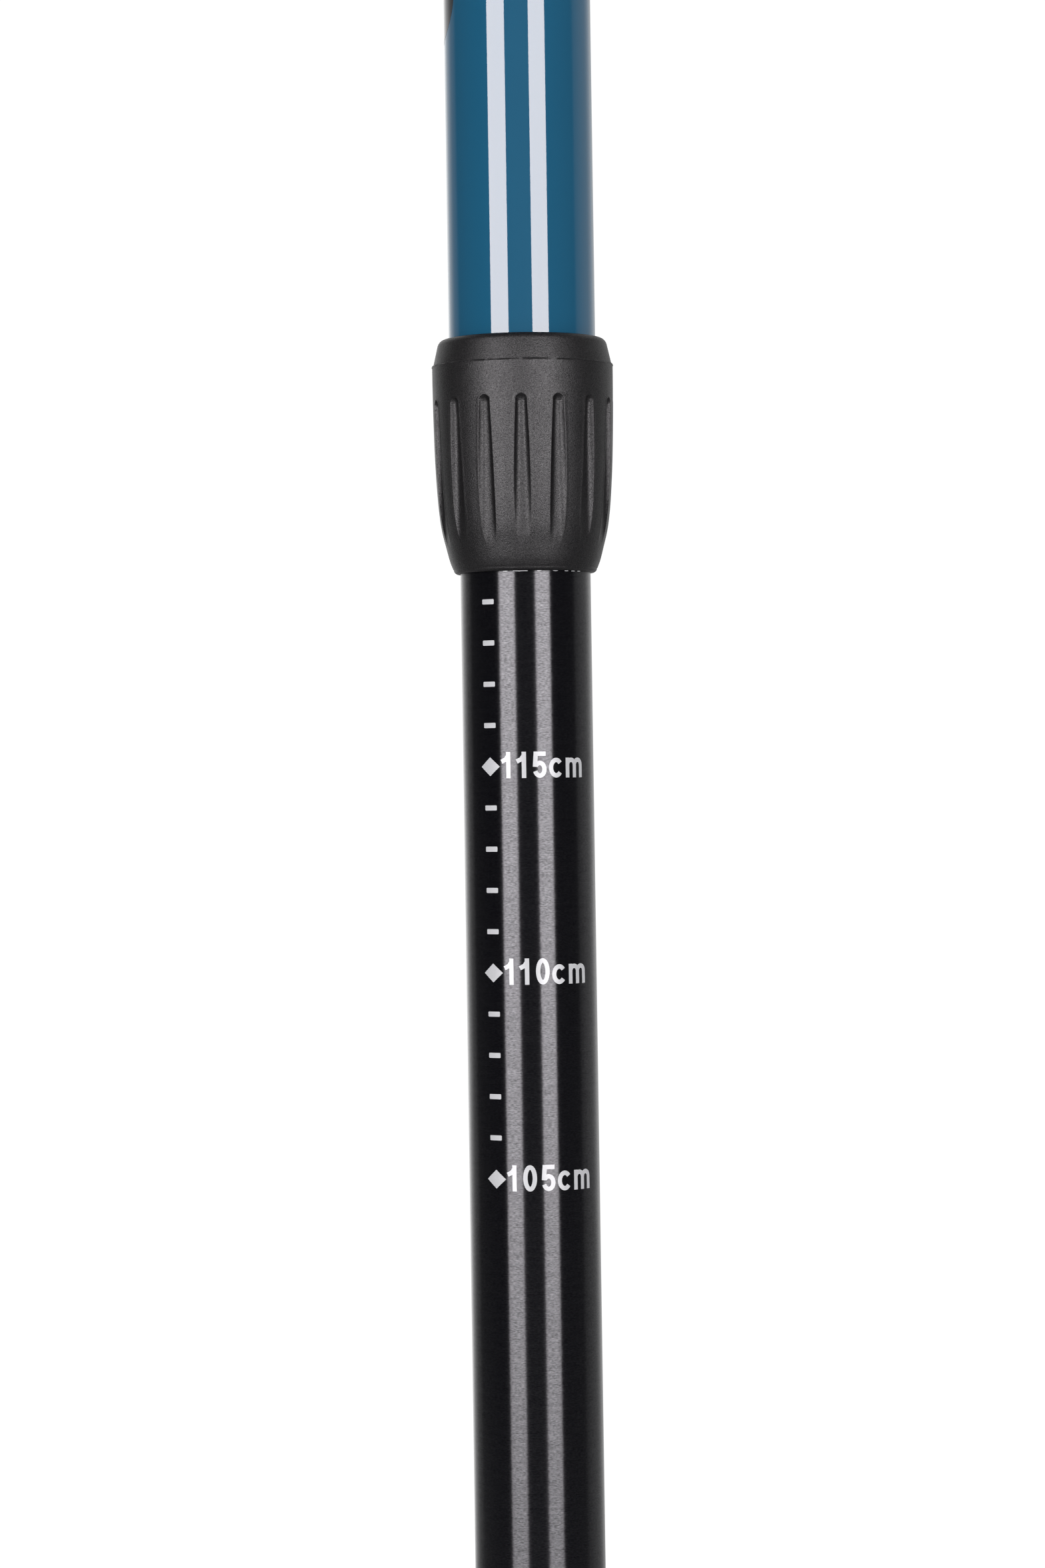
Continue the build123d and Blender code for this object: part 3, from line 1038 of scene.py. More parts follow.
@dataclass(frozen=True)
class RoundTube:
    """Drawn tube with rolled edge breaks, standing for one CAD tube."""

    node: str
    body: str
    slot: str
    radius: float
    bore: float
    stock: Stock
    segments: int = 256

    def build(self, paints: Paints) -> bpy.types.Object:
        """Make the tube.

        Args:
            paints: finishes.

        Returns:
            The finished piece.
        """
        low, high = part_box(self.node)
        bottom, top = low[2], high[2]
        edge = 0.18 * MM
        outline = rounded(
            [
                (self.radius, bottom, edge),
                (self.radius, bottom + 0.5 * (top - bottom), 0),
                (self.radius, top, edge),
                (self.bore, top, edge),
                (self.bore, bottom, edge),
            ]
        )
        obj = lathe(self.node + "_skin", outline, self.segments)
        set_material(obj, paints[self.stock])
        return hand_over(obj, self.body, self.slot, [self.node])


@dataclass(frozen=True)
class Collar:
    """Ribbed lock collar: one moulded sleeve with grooves and a parting line."""

    node: str
    body: str
    slot: str
    tube_radius: float
    slide_radius: float
    grooves: int = 15
    turn: float = -1.2
    lip: float = 4 * MM
    # height share and floor of a groove over the tube, in mm
    floor: tuple[Point, ...] = (
        (0.100, 0.57), (0.150, 0.83), (0.220, 1.02), (0.350, 1.16), (0.550, 1.30), (0.670, 1.44),
        (0.740, 1.66),
    )
    end_radius: float = 0.72 * MM
    # height share and bulge over the tube, in mm
    bulge: tuple[Point, ...] = (
        (0.028, -0.13), (0.062, 0.24), (0.120, 0.68), (0.185, 1.13), (0.255, 1.42),
        (0.350, 1.66), (0.490, 1.88), (0.660, 2.02), (0.800, 2.08), (0.895, 2.09),
    )
    # height share and half width of a groove, in mm
    width: tuple[Point, ...] = (
        (0.110, 0.62), (0.140, 0.84), (0.180, 0.97), (0.250, 1.04), (0.330, 1.05),
        (0.440, 1.00), (0.560, 0.90), (0.650, 0.78), (0.710, 0.70),
    )
    groove_top: float = 0.738
    ring_share: float = 0.882

    def outer_radius(self, share: np.ndarray) -> np.ndarray:
        """Radius of the plain body in metres against height share."""
        curve = smooth_curve(self.bulge, 24)
        return self.tube_radius + np.interp(share, curve[:, 0], curve[:, 1]) * MM

    def half_width(self, share: np.ndarray) -> np.ndarray:
        """Half width of a groove in metres against height share."""
        curve = smooth_curve(self.width, 12)
        return np.interp(share, curve[:, 0], curve[:, 1]) * MM

    def shares(self, length: float) -> np.ndarray:
        """Heights of the outer rows, close together where the form turns.

        Args:
            length: length of the collar.

        Returns:
            Shares of the length, rising.
        """
        fine = 0.07 * MM / length
        parts = [
            np.arange(0.028, 0.10, 0.010),
            np.arange(0.10, 0.22, 0.006),
            np.arange(0.22, 0.70, 0.0125),
            np.arange(0.70, 0.75, fine),
            np.arange(0.75, self.ring_share - 0.006, 0.0125),
            np.arange(self.ring_share - 0.006, self.ring_share + 0.006, 0.0016),
        ]
        return np.concatenate(parts)

    def sector(self, name: str, edge: float, length: float) -> bpy.types.Object:
        """Make one sector of the collar with its groove in the middle.

        Args:
            name: object name.
            edge: height of the reading edge.
            length: length of the collar.

        Returns:
            The open sector mesh with its flash weight.
        """
        reach = math.pi / self.grooves
        body = self.shares(length)
        radii = self.outer_radius(body)
        top = edge + length
        step = 0.12 * MM
        ring_z = edge + self.ring_share * length
        head = rounded(
            [
                (self.tube_radius + 2.06 * MM - step, ring_z + 0.18 * MM, 0),
                (self.tube_radius + 1.34 * MM, top - 0.60 * MM, 0.4 * MM),
                (self.tube_radius + 0.95 * MM, top - 0.16 * MM, 0.4 * MM),
                (self.tube_radius + 0.05 * MM, top - 0.06 * MM, 0.05 * MM),
                (self.tube_radius + 0.01 * MM, top - 0.6 * MM, 0),
            ],
            4,
        )
        lower = self.slide_radius + 0.06 * MM
        inner = rounded(
            [
                (self.tube_radius + 0.01 * MM, edge + self.lip + 0.6 * MM, 0),
                (self.tube_radius + 0.01 * MM, edge + self.lip, 0.1 * MM),
                (lower, edge + self.lip, 0.1 * MM),
                (lower, edge + 0.30 * MM, 0.15 * MM),
                (self.tube_radius - 0.60 * MM, edge + 0.18 * MM, 0.25 * MM),
                (self.tube_radius - 0.22 * MM, edge + 0.48 * MM, 0.3 * MM),
            ],
            4,
        )
        rows: list[tuple[float, float, bool]] = [(r, edge + s * length, True) for r, s in zip(radii, body)]
        rows += [(r, z, False) for r, z in head] + [(r, z, False) for r, z in inner]

        verts, flash = [], []
        centre = edge + self.groove_top * length - self.end_radius
        for radius, height, grooved in rows:
            share = (height - edge) / length
            if height <= centre:
                half = float(self.half_width(np.array(share)))
            else:
                half = math.sqrt(max(self.end_radius ** 2 - (height - centre) ** 2, 0.0))
            half = max(half, 0.22 * MM)
            arcs = [half * t for t in (0.0, 0.2, 0.4, 0.58, 0.73, 0.85, 0.94, 1.0)]
            arcs += [half + t * MM for t in (0.05, 0.11, 0.22)]
            border = reach * 11.0 * MM * (self.tube_radius / (9.0 * MM))
            start = arcs[-1]
            arcs += [start + (border - start) * t for t in (0.25, 0.5, 0.75, 1.0)]
            line = [-a for a in reversed(arcs[1:])] + arcs
            floor = self.tube_radius + float(np.interp(share, *zip(*self.floor))) * MM
            for arc in line:
                angle = arc / border * reach
                r = radius
                if grooved:
                    inside = self.inside(arc, height, centre, half)
                    drop = max(radius - floor, 0.0)
                    reach_in = half if height <= centre else self.end_radius
                    away = 1.0 - min(max(inside / reach_in, 0.0), 1.0)
                    r -= drop * (1.0 - away ** (3.0 if height <= centre else 2.0))
                    if drop > 0 and height < centre + self.end_radius + 0.3 * MM:
                        r += 0.025 * MM * math.exp(-(((inside + 0.09 * MM) / (0.07 * MM)) ** 2)) * min(
                            drop / (0.4 * MM), 1.0
                        )
                verts.append((r * math.sin(angle), -r * math.cos(angle), height))
                flash.append(math.exp(-(((height - ring_z) / (0.06 * MM)) ** 2)) if grooved else 0.0)
        columns = len(verts) // len(rows)
        faces = grid_faces(len(rows), columns, True, False)
        obj = mesh_object(name, verts, faces)
        weight = obj.data.attributes.new("flash", "FLOAT", "POINT")
        weight.data.foreach_set("value", flash)
        return obj

    def inside(self, arc: float, height: float, centre: float, half: float) -> float:
        """Measure how far a point lies inside a groove's outline.

        Args:
            arc: distance round the tube from the groove's middle.
            height: height of the point.
            centre: height of the middle of the groove's round end.
            half: half width of the groove at that height.

        Returns:
            The distance, negative outside the outline.
        """
        if height <= centre:
            return half - abs(arc)
        return self.end_radius - math.hypot(arc, height - centre)

    def build(self, paints: Paints, rules: Rules) -> bpy.types.Object:
        """Make the collar.

        Args:
            paints: finishes.
            rules: geometry node trees.

        Returns:
            The finished piece.
        """
        low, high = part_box(self.node)
        obj = self.sector(self.node + "_moulding", low[2], high[2] - low[2])
        rules.polar.apply(
            obj, paints[Stock.COLLAR], Count=self.grooves, Turn=math.radians(self.turn), Weld=1e-6
        )
        rules.flash.apply(obj, paints[Stock.COLLAR], Height=0.42 * MM, Wander=0.20 * MM, Grain=900.0)
        return hand_over(obj, self.body, self.slot, [self.node])


# ---- printed scale ----
class Lettering:
    """Plain sans-serif print built from strokes of even width.

    Glyphs are drawn in a box one unit high, with X to the right and Z up.
    """

    height = 3.18 * MM
    x_height = 0.755
    stroke = 0.168
    chord = 0.09
    # glyph: width, room on its left, room on its right, as shares of the height
    metrics = {
        "0": (0.53, 0.116, 0.065), "1": (0.40, 0.067, 0.14), "2": (0.52, 0.116, 0.065),
        "3": (0.52, 0.116, 0.065), "5": (0.53, 0.116, 0.065), "c": (0.590, 0.030, 0.066),
        "m": (0.855, 0.060, 0.06), "S": (0.56, 0.07, 0.07), "T": (0.54, 0.07, 0.07),
        "O": (0.62, 0.07, 0.07), "P": (0.52, 0.07, 0.07),
    }

    @staticmethod
    def arc(
        cx: float, cz: float, rx: float, rz: float, start: float, end: float, steps: int = 14
    ) -> list[Point]:
        """Place points along part of an ellipse.

        Args:
            cx: middle of the ellipse to the right.
            cz: middle of the ellipse upwards.
            rx: half its width.
            rz: half its height.
            start: first angle in degrees.
            end: last angle in degrees.
            steps: number of chords.

        Returns:
            The points in order.
        """
        out = []
        for step in range(steps + 1):
            turn = math.radians(start + (end - start) * step / steps)
            out.append((cx + rx * math.cos(turn), cz + rz * math.sin(turn)))
        return out

    def strokes(self, glyph: str) -> list[list[Point]]:
        """Draw the centre lines of a glyph's strokes.

        Args:
            glyph: one character of the metrics table.

        Returns:
            One list of points for each stroke, as shares of the height.
        """
        s = self.stroke / 2
        w = self.metrics[glyph][0]
        xh = self.x_height
        arc = self.arc
        if glyph == "1":
            return [[(w - s, 0.0), (w - s, 1.0)], [(w - s, 0.95 - s), (0.22, 0.72), (0.04, 0.63)]]
        if glyph in "0O":
            return [arc(w / 2, 0.5, w / 2 - s, 0.5 - s, 90, 450, 32)]
        if glyph == "2":
            return [
                arc(w / 2, 0.73, w / 2 - s, 0.27 - s, 165, -25, 14)
                + [(0.30, 0.33), (0.10, s), (w, s)]
            ]
        if glyph == "3":
            return [
                arc(w / 2 - 0.01, 0.745, w / 2 - s - 0.01, 0.255 - s, 160, -80, 12) + [(0.20, 0.545)],
                [(0.20, 0.545)] + arc(w / 2, 0.285, w / 2 - s, 0.285 - s, 80, -160, 14),
            ]
        if glyph == "5":
            return [
                [(w - 0.03, 1.0 - s), (0.115, 1.0 - s), (0.082, 0.42)],
                [(0.11, 0.46)] + arc(w / 2, 0.325, w / 2 - s, 0.325 - s, 128, -163, 18),
            ]
        if glyph == "c":
            return [arc(w / 2, xh / 2, w / 2 - s, xh / 2 - s, 38, 322, 22)]
        if glyph == "m":
            bay = (w - 2 * s) / 2
            out = [[(s, 0.0), (s, xh)]]
            for index in range(2):
                start = s + bay * index
                out.append(
                    [(start, xh - 0.27)]
                    + arc(start + bay / 2, xh - 0.27, bay / 2, 0.27 - s, 180, 0, 10)
                    + [(start + bay, 0.0)]
                )
            return out
        if glyph == "S":
            return [
                arc(w / 2, 0.735, w / 2 - s, 0.265 - s, 25, 270, 14)
                + arc(w / 2, 0.275, w / 2 - s, 0.275 - s, 90, -155, 14)
            ]
        if glyph == "T":
            return [[(0.0, 1.0 - s), (w, 1.0 - s)], [(w / 2, 1.0 - s), (w / 2, 0.0)]]
        return [
            [(s, 0.0), (s, 1.0)],
            [(s, 1.0 - s), (0.30, 1.0 - s)]
            + arc(0.28, 0.73, w - 0.28 - s, 0.27 - s, 90, -90, 12)
            + [(s, 0.46 + s)],
        ]

    def ribbon(
        self, line: Sequence[Point], verts: list, faces: list, left: float, base: float, lift: float
    ) -> None:
        """Add one stroke as a flat ribbon of even width.

        Args:
            line: centre line of the stroke.
            verts: list that gets the points.
            faces: list that gets the faces.
            left: arc position of the glyph's left edge.
            base: height of the base line.
            lift: small offset that keeps crossing strokes apart.
        """
        fine: list[Vector] = [Vector(line[0])]
        for point in line[1:]:
            here = Vector(point)
            start = fine[-1].copy()
            pieces = max(1, int((here - start).length / self.chord))
            for piece in range(pieces):
                fine.append(start.lerp(here, (piece + 1) / pieces))
        half = self.stroke / 2
        first = len(verts)
        count = len(fine)
        loop = (fine[0] - fine[-1]).length < 1e-6
        for index, point in enumerate(fine):
            back = fine[index - 1] if index else (fine[-2] if loop else point)
            ahead = fine[index + 1] if index < count - 1 else (fine[1] if loop else point)
            into, out = point - back, ahead - point
            into = into.normalized() if into.length > 1e-9 else out.normalized()
            out = out.normalized() if out.length > 1e-9 else into
            tangent = (into + out).normalized()
            normal = Vector((-tangent.y, tangent.x))
            spread = half / max(0.5, normal.dot(Vector((-into.y, into.x))))
            for side in (1, 0, -1):
                spot = point + normal * spread * side
                verts.append((left + spot.x * self.height, lift, base + spot.y * self.height))
        for index in range(count - 1):
            for lane in range(2):
                a = first + 3 * index + lane
                faces.append((a, a + 1, a + 4, a + 3))

    def text(self, words: str, left: float, base: float) -> tuple[list, list]:
        """Draw a line of text flat.

        Args:
            words: the characters.
            left: arc position of the first character's left edge.
            base: height of the base line.

        Returns:
            Points and faces, flat in XZ.
        """
        verts: list = []
        faces: list = []
        pen = left - self.metrics[words[0]][1] * self.height
        for glyph in words:
            width, before, after = self.metrics[glyph]
            pen += before * self.height
            for order, line in enumerate(self.strokes(glyph)):
                self.ribbon(line, verts, faces, pen, base, 0.0012 * MM * order)
            pen += (width + after) * self.height
        return verts, faces


@dataclass(frozen=True)
class PrintedScale:
    """Length scale printed on a sliding tube: marks, lozenges and numbers."""

    name: str
    body: str
    slot: str
    radius: float
    reading_edge: float
    setting: float
    first: int = 105
    last: int = 135
    pitch: float = 5 * MM
    mark_at: float = -35.4
    text_left: float = -3.49 * MM
    film: float = 0.012 * MM
    lift: float = 0.006 * MM
    mark_tall: float = 0.31 * MM
    mark_half: float = 0.85 * MM
    mark_corner: float = 0.08 * MM
    lozenge_tall: float = 1.14 * MM
    lozenge_half: float = 1.35 * MM
    number_drop: float = 1.43 * MM
    stop_above: float = 6.0 * MM
    letters: Lettering = field(default_factory=Lettering)

    def tick(self, height: float) -> float:
        """Give the half width of a mark, a short bar with soft corners.

        Args:
            height: height from the mark's middle.

        Returns:
            The half width.
        """
        edge = self.mark_tall - abs(height)
        corner = self.mark_corner
        cut = corner - math.sqrt(max(corner ** 2 - max(corner - edge, 0.0) ** 2, 0.0))
        return self.mark_half - cut

    def lozenge(self, height: float) -> float:
        """Half width of a lozenge against the height from its middle."""
        return max(self.lozenge_half * (1 - abs(height) / self.lozenge_tall), 0.01 * MM)

    def height_of(self, mark: float) -> float:
        """Height of a mark's middle on the tube at rest."""
        return self.reading_edge + self.setting + (mark - 120) * self.pitch

    def flat(
        self, name: str, outline: Callable[[float], float], low: float, high: float, rows: int, centre: float
    ) -> bpy.types.Object:
        """Make a flat mark whose half width is a function of height.

        Args:
            name: object name.
            outline: half width against height.
            low: lower end.
            high: upper end.
            rows: number of rows of faces.
            centre: arc position of the mark's middle.

        Returns:
            The flat mesh in XZ.
        """
        columns = 7
        verts: list[tuple[float, float, float]] = []
        for row in range(rows + 1):
            height = low + (high - low) * row / rows
            half = outline(height)
            for column in range(columns):
                share = 2 * column / (columns - 1) - 1
                verts.append((centre + half * share, 0.0, height))
        return mesh_object(name, verts, grid_faces(rows + 1, columns, False, False))

    def build(self, paints: Paints, rules: Rules) -> bpy.types.Object:
        """Make the whole print as one piece.

        Args:
            paints: finishes.
            rules: geometry node trees.

        Returns:
            The finished piece.
        """
        centre = math.radians(self.mark_at) * self.radius
        skin = self.radius + self.lift
        ink = paints[Stock.INK]
        base = self.height_of(self.first)

        parts = []
        count = self.last - self.first
        for index in range(4):
            mark = self.flat(
                f"{self.name}_mark{index}", self.tick, -self.mark_tall, self.mark_tall, 8, centre
            )
            mark.data.transform(Matrix.Translation((0, 0, base + (index + 1) * self.pitch)))
            rules.row.apply(mark, ink, Count=count // 5, Pitch=5 * self.pitch, Radius=skin, Film=self.film)
            parts.append(mark)
        diamond = self.flat(
            self.name + "_lozenge", self.lozenge, -self.lozenge_tall, self.lozenge_tall, 12, centre
        )
        diamond.data.transform(Matrix.Translation((0, 0, base)))
        rules.row.apply(diamond, ink, Count=count // 5 + 1, Pitch=5 * self.pitch, Radius=skin, Film=self.film)
        parts.append(diamond)
        for mark in range(self.first, self.last + 1, 5):
            base_line = self.height_of(mark) - self.number_drop
            verts, faces = self.letters.text(f"{mark}cm", self.text_left, base_line)
            label = mesh_object(f"{self.name}_{mark}", verts, faces)
            rules.row.apply(label, ink, Count=1, Pitch=0.0, Radius=skin, Film=self.film)
            parts.append(label)
        verts, faces = self.letters.text("STOP", self.text_left, self.height_of(self.last) + self.stop_above)
        label = mesh_object(self.name + "_stop", verts, faces)
        rules.row.apply(label, ink, Count=1, Pitch=0.0, Radius=skin, Film=self.film)
        parts.append(label)
        obj = join(self.name, parts)
        return hand_over(obj, self.body, self.slot)


@dataclass(frozen=True)
class SideBar:
    """Plain black bar with round ends under the upper tube's lacquer."""

    radius: float = 9 * MM
    half: float = 5.6 * MM
    arc_centre: float = -14.85 * MM
    above_collar: float = 36.2 * MM
    length: float = 170 * MM

    def build(self, paints: Paints, rules: Rules) -> bpy.types.Object:
        """Make the bar.

        Args:
            paints: finishes.
            rules: geometry node trees.

        Returns:
            The finished piece.
        """
        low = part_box("upper_collar")[1][2] + self.above_collar
        heights = [self.half * (1 - math.cos(math.pi * i / 48)) for i in range(25)]
        heights += [self.half + (self.length - 2 * self.half) * i / 8 for i in range(1, 8)]
        heights += [self.length - self.half * (1 - math.cos(math.pi * (24 - i) / 48)) for i in range(25)]
        verts = []
        columns = 25
        for height in heights:
            off = max(self.half - height, height - (self.length - self.half), 0.0)
            half = max(math.sqrt(max(self.half ** 2 - off ** 2, 0.0)), 0.02 * MM)
            for column in range(columns):
                share = 2 * column / (columns - 1) - 1
                verts.append((self.arc_centre + half * share, 0.0, low + height))
        faces = grid_faces(len(heights), columns, False, False)
        obj = mesh_object("upper_tube_bar", verts, faces)
        rules.row.apply(
            obj, paints[Stock.BAR_INK], Count=1, Pitch=0.0, Radius=self.radius + 0.004 * MM, Film=0.012 * MM
        )
        return hand_over(obj, "handle_section", "collar_plastic")


# ---- hold, strap and lower end ----
@dataclass(frozen=True)
class Grip:
    """Moulded hand hold with finger waves, cross ribs and a slot for the strap."""

    node: str = "grip_body"
    body: str = "handle_section"
    bore: float = 9.02 * MM
    bore_top: float = 41.0 * MM
    # height, forward offset, half depth and half width, in mm
    rings: tuple[tuple[float, float, float, float], ...] = (
        (-95.0, 0.0, 13.6, 13.2), (-93.6, 0.0, 14.5, 13.9), (-88.0, 0.0, 15.2, 14.4),
        (-74.0, 0.3, 14.6, 13.6), (-58.0, 1.0, 16.0, 14.0), (-42.0, 0.4, 14.8, 13.4),
        (-25.0, 1.2, 16.6, 14.3), (-8.0, 0.4, 15.0, 13.5), (10.0, 1.0, 16.6, 14.5),
        (25.0, 1.0, 16.4, 14.8), (38.0, 2.4, 19.2, 16.2), (52.0, 3.6, 22.8, 18.4),
        (64.0, 4.0, 23.0, 18.8), (70.0, 4.0, 21.6, 17.6), (72.0, 4.0, 20.0, 16.2),
    )
    rib_pitch: float = 4.6
    rib_depth: float = 0.55
    ribbed: Point = (-84.0, 30.0)
    segments: int = 144
    slot_back: float = -8.6 * MM
    slot_wide: float = 22.0 * MM
    slot_tall: float = 14.5 * MM
    slot_height: float = 50.0 * MM
    slot_round: float = 2.2 * MM

    def relief(self, height: float, turn: float) -> float:
        """Give the depth of the moulded ribs.

        Args:
            height: height in mm.
            turn: angle round the hold, zero at its front.

        Returns:
            Offset from the plain surface in mm, never outwards.
        """
        low, high = self.ribbed
        if not low < height < high:
            return 0.0
        fade = min(1.0, (height - low) / 3, (high - height) / 3)
        facing = max(0.0, abs(math.cos(turn)) - 0.42) / 0.58
        side = min(1.0, facing * 3.0)
        phase = (height / self.rib_pitch) % 1.0
        groove = max(0.0, 1.0 - abs(phase - 0.5) / 0.17)
        groove = groove * groove * (3 - 2 * groove)
        ring = math.exp(-((facing - 0.02) / 0.05) ** 2) * 0.6 if 0.0 < facing < 0.2 else 0.0
        return -self.rib_depth * fade * max(groove * side, ring)

    def build(self, paints: Paints) -> bpy.types.Object:
        """Make the grip.

        Args:
            paints: finishes.

        Returns:
            The finished piece.
        """
        table = np.array(self.rings)
        curve = smooth_curve(table, 40)
        foot, crown = self.rings[0][0], self.rings[-1][0]
        low, high = self.ribbed
        heights = np.unique(np.concatenate([
            np.arange(foot, low, 0.5), np.arange(low, high, 0.42), np.arange(high, crown - 4.0, 1.2),
            np.arange(crown - 4.0, crown + 0.01, 0.4),
        ]))
        verts = []
        for height in heights:
            shift, deep, wide = (np.interp(height, curve[:, 0], curve[:, k]) for k in (1, 2, 3))
            for step in range(self.segments):
                turn = 2 * math.pi * step / self.segments
                lift = self.relief(height, turn)
                verts.append((
                    (shift + (deep + lift) * math.cos(turn)) * MM,
                    (wide + lift) * math.sin(turn) * MM,
                    height * MM,
                ))
        shift, deep, wide = table[-1, 1:]
        for share, drop in ((0.96, -0.35), (0.90, -0.5), (0.02, -0.5)):
            for step in range(self.segments):
                turn = 2 * math.pi * step / self.segments
                verts.append((
                    (shift + deep * share * math.cos(turn)) * MM,
                    wide * share * math.sin(turn) * MM,
                    (crown - drop) * MM,
                ))
        rows = len(heights) + 3
        faces = grid_faces(rows, self.segments, False, True)
        top = len(verts)
        verts.append((shift * MM, 0.0, (crown + 0.5) * MM))
        base = (rows - 1) * self.segments
        faces += [[base + s, base + (s + 1) % self.segments, top] for s in range(self.segments)]
        inner = len(verts)
        ring = inner + self.segments
        for height in (heights[0] * MM, self.bore_top):
            for step in range(self.segments):
                turn = 2 * math.pi * step / self.segments
                verts.append((self.bore * math.cos(turn), self.bore * math.sin(turn), height))
        for step in range(self.segments):
            side = (step + 1) % self.segments
            faces.append([step, inner + step, inner + side, side])
            faces.append([inner + step, ring + step, ring + side, inner + side])
        end = len(verts)
        verts.append((0.0, 0.0, self.bore_top))
        faces += [[ring + s, end, ring + (s + 1) % self.segments] for s in range(self.segments)]
        obj = mesh_object("grip_moulding", verts, faces)
        self.cut_slot(obj)
        set_material(obj, paints[Stock.RUBBER])
        return hand_over(obj, self.body, "grip_rubber", [self.node])

    def cut_slot(self, obj: bpy.types.Object) -> None:
        """Cut the strap's slot out of the back of the head.

        Args:
            obj: the closed hold.
        """
        back, half, tall = -40 * MM, self.slot_wide / 2, self.slot_tall / 2
        corners = rounded(
            [
                (back, self.slot_height - tall, 0),
                (self.slot_back, self.slot_height - tall, self.slot_round),
                (self.slot_back, self.slot_height + tall, self.slot_round),
                (back, self.slot_height + tall, 0),
            ],
            6,
        )
        count = len(corners)
        verts = [(x, -half, z) for x, z in corners] + [(x, half, z) for x, z in corners]
        faces = [list(range(count)), list(range(2 * count - 1, count - 1, -1))]
        faces += [[i + count, (i + 1) % count + count, (i + 1) % count, i] for i in range(count)]
        cutter = mesh_object("slot_cutter", verts, faces)
        modifier = obj.modifiers.new("slot", "BOOLEAN")
        modifier.operation = "DIFFERENCE"
        modifier.solver = "EXACT"
        modifier.object = cutter
        depsgraph = bpy.context.evaluated_depsgraph_get()
        mesh = bpy.data.meshes.new_from_object(obj.evaluated_get(depsgraph))
        obj.modifiers.clear()
        old, obj.data = obj.data, mesh
        bpy.data.meshes.remove(old)
        bpy.data.objects.remove(cutter)
        mesh.name = obj.name
        mesh.shade_smooth()
        mesh.set_sharp_from_angle(angle=SHARP)


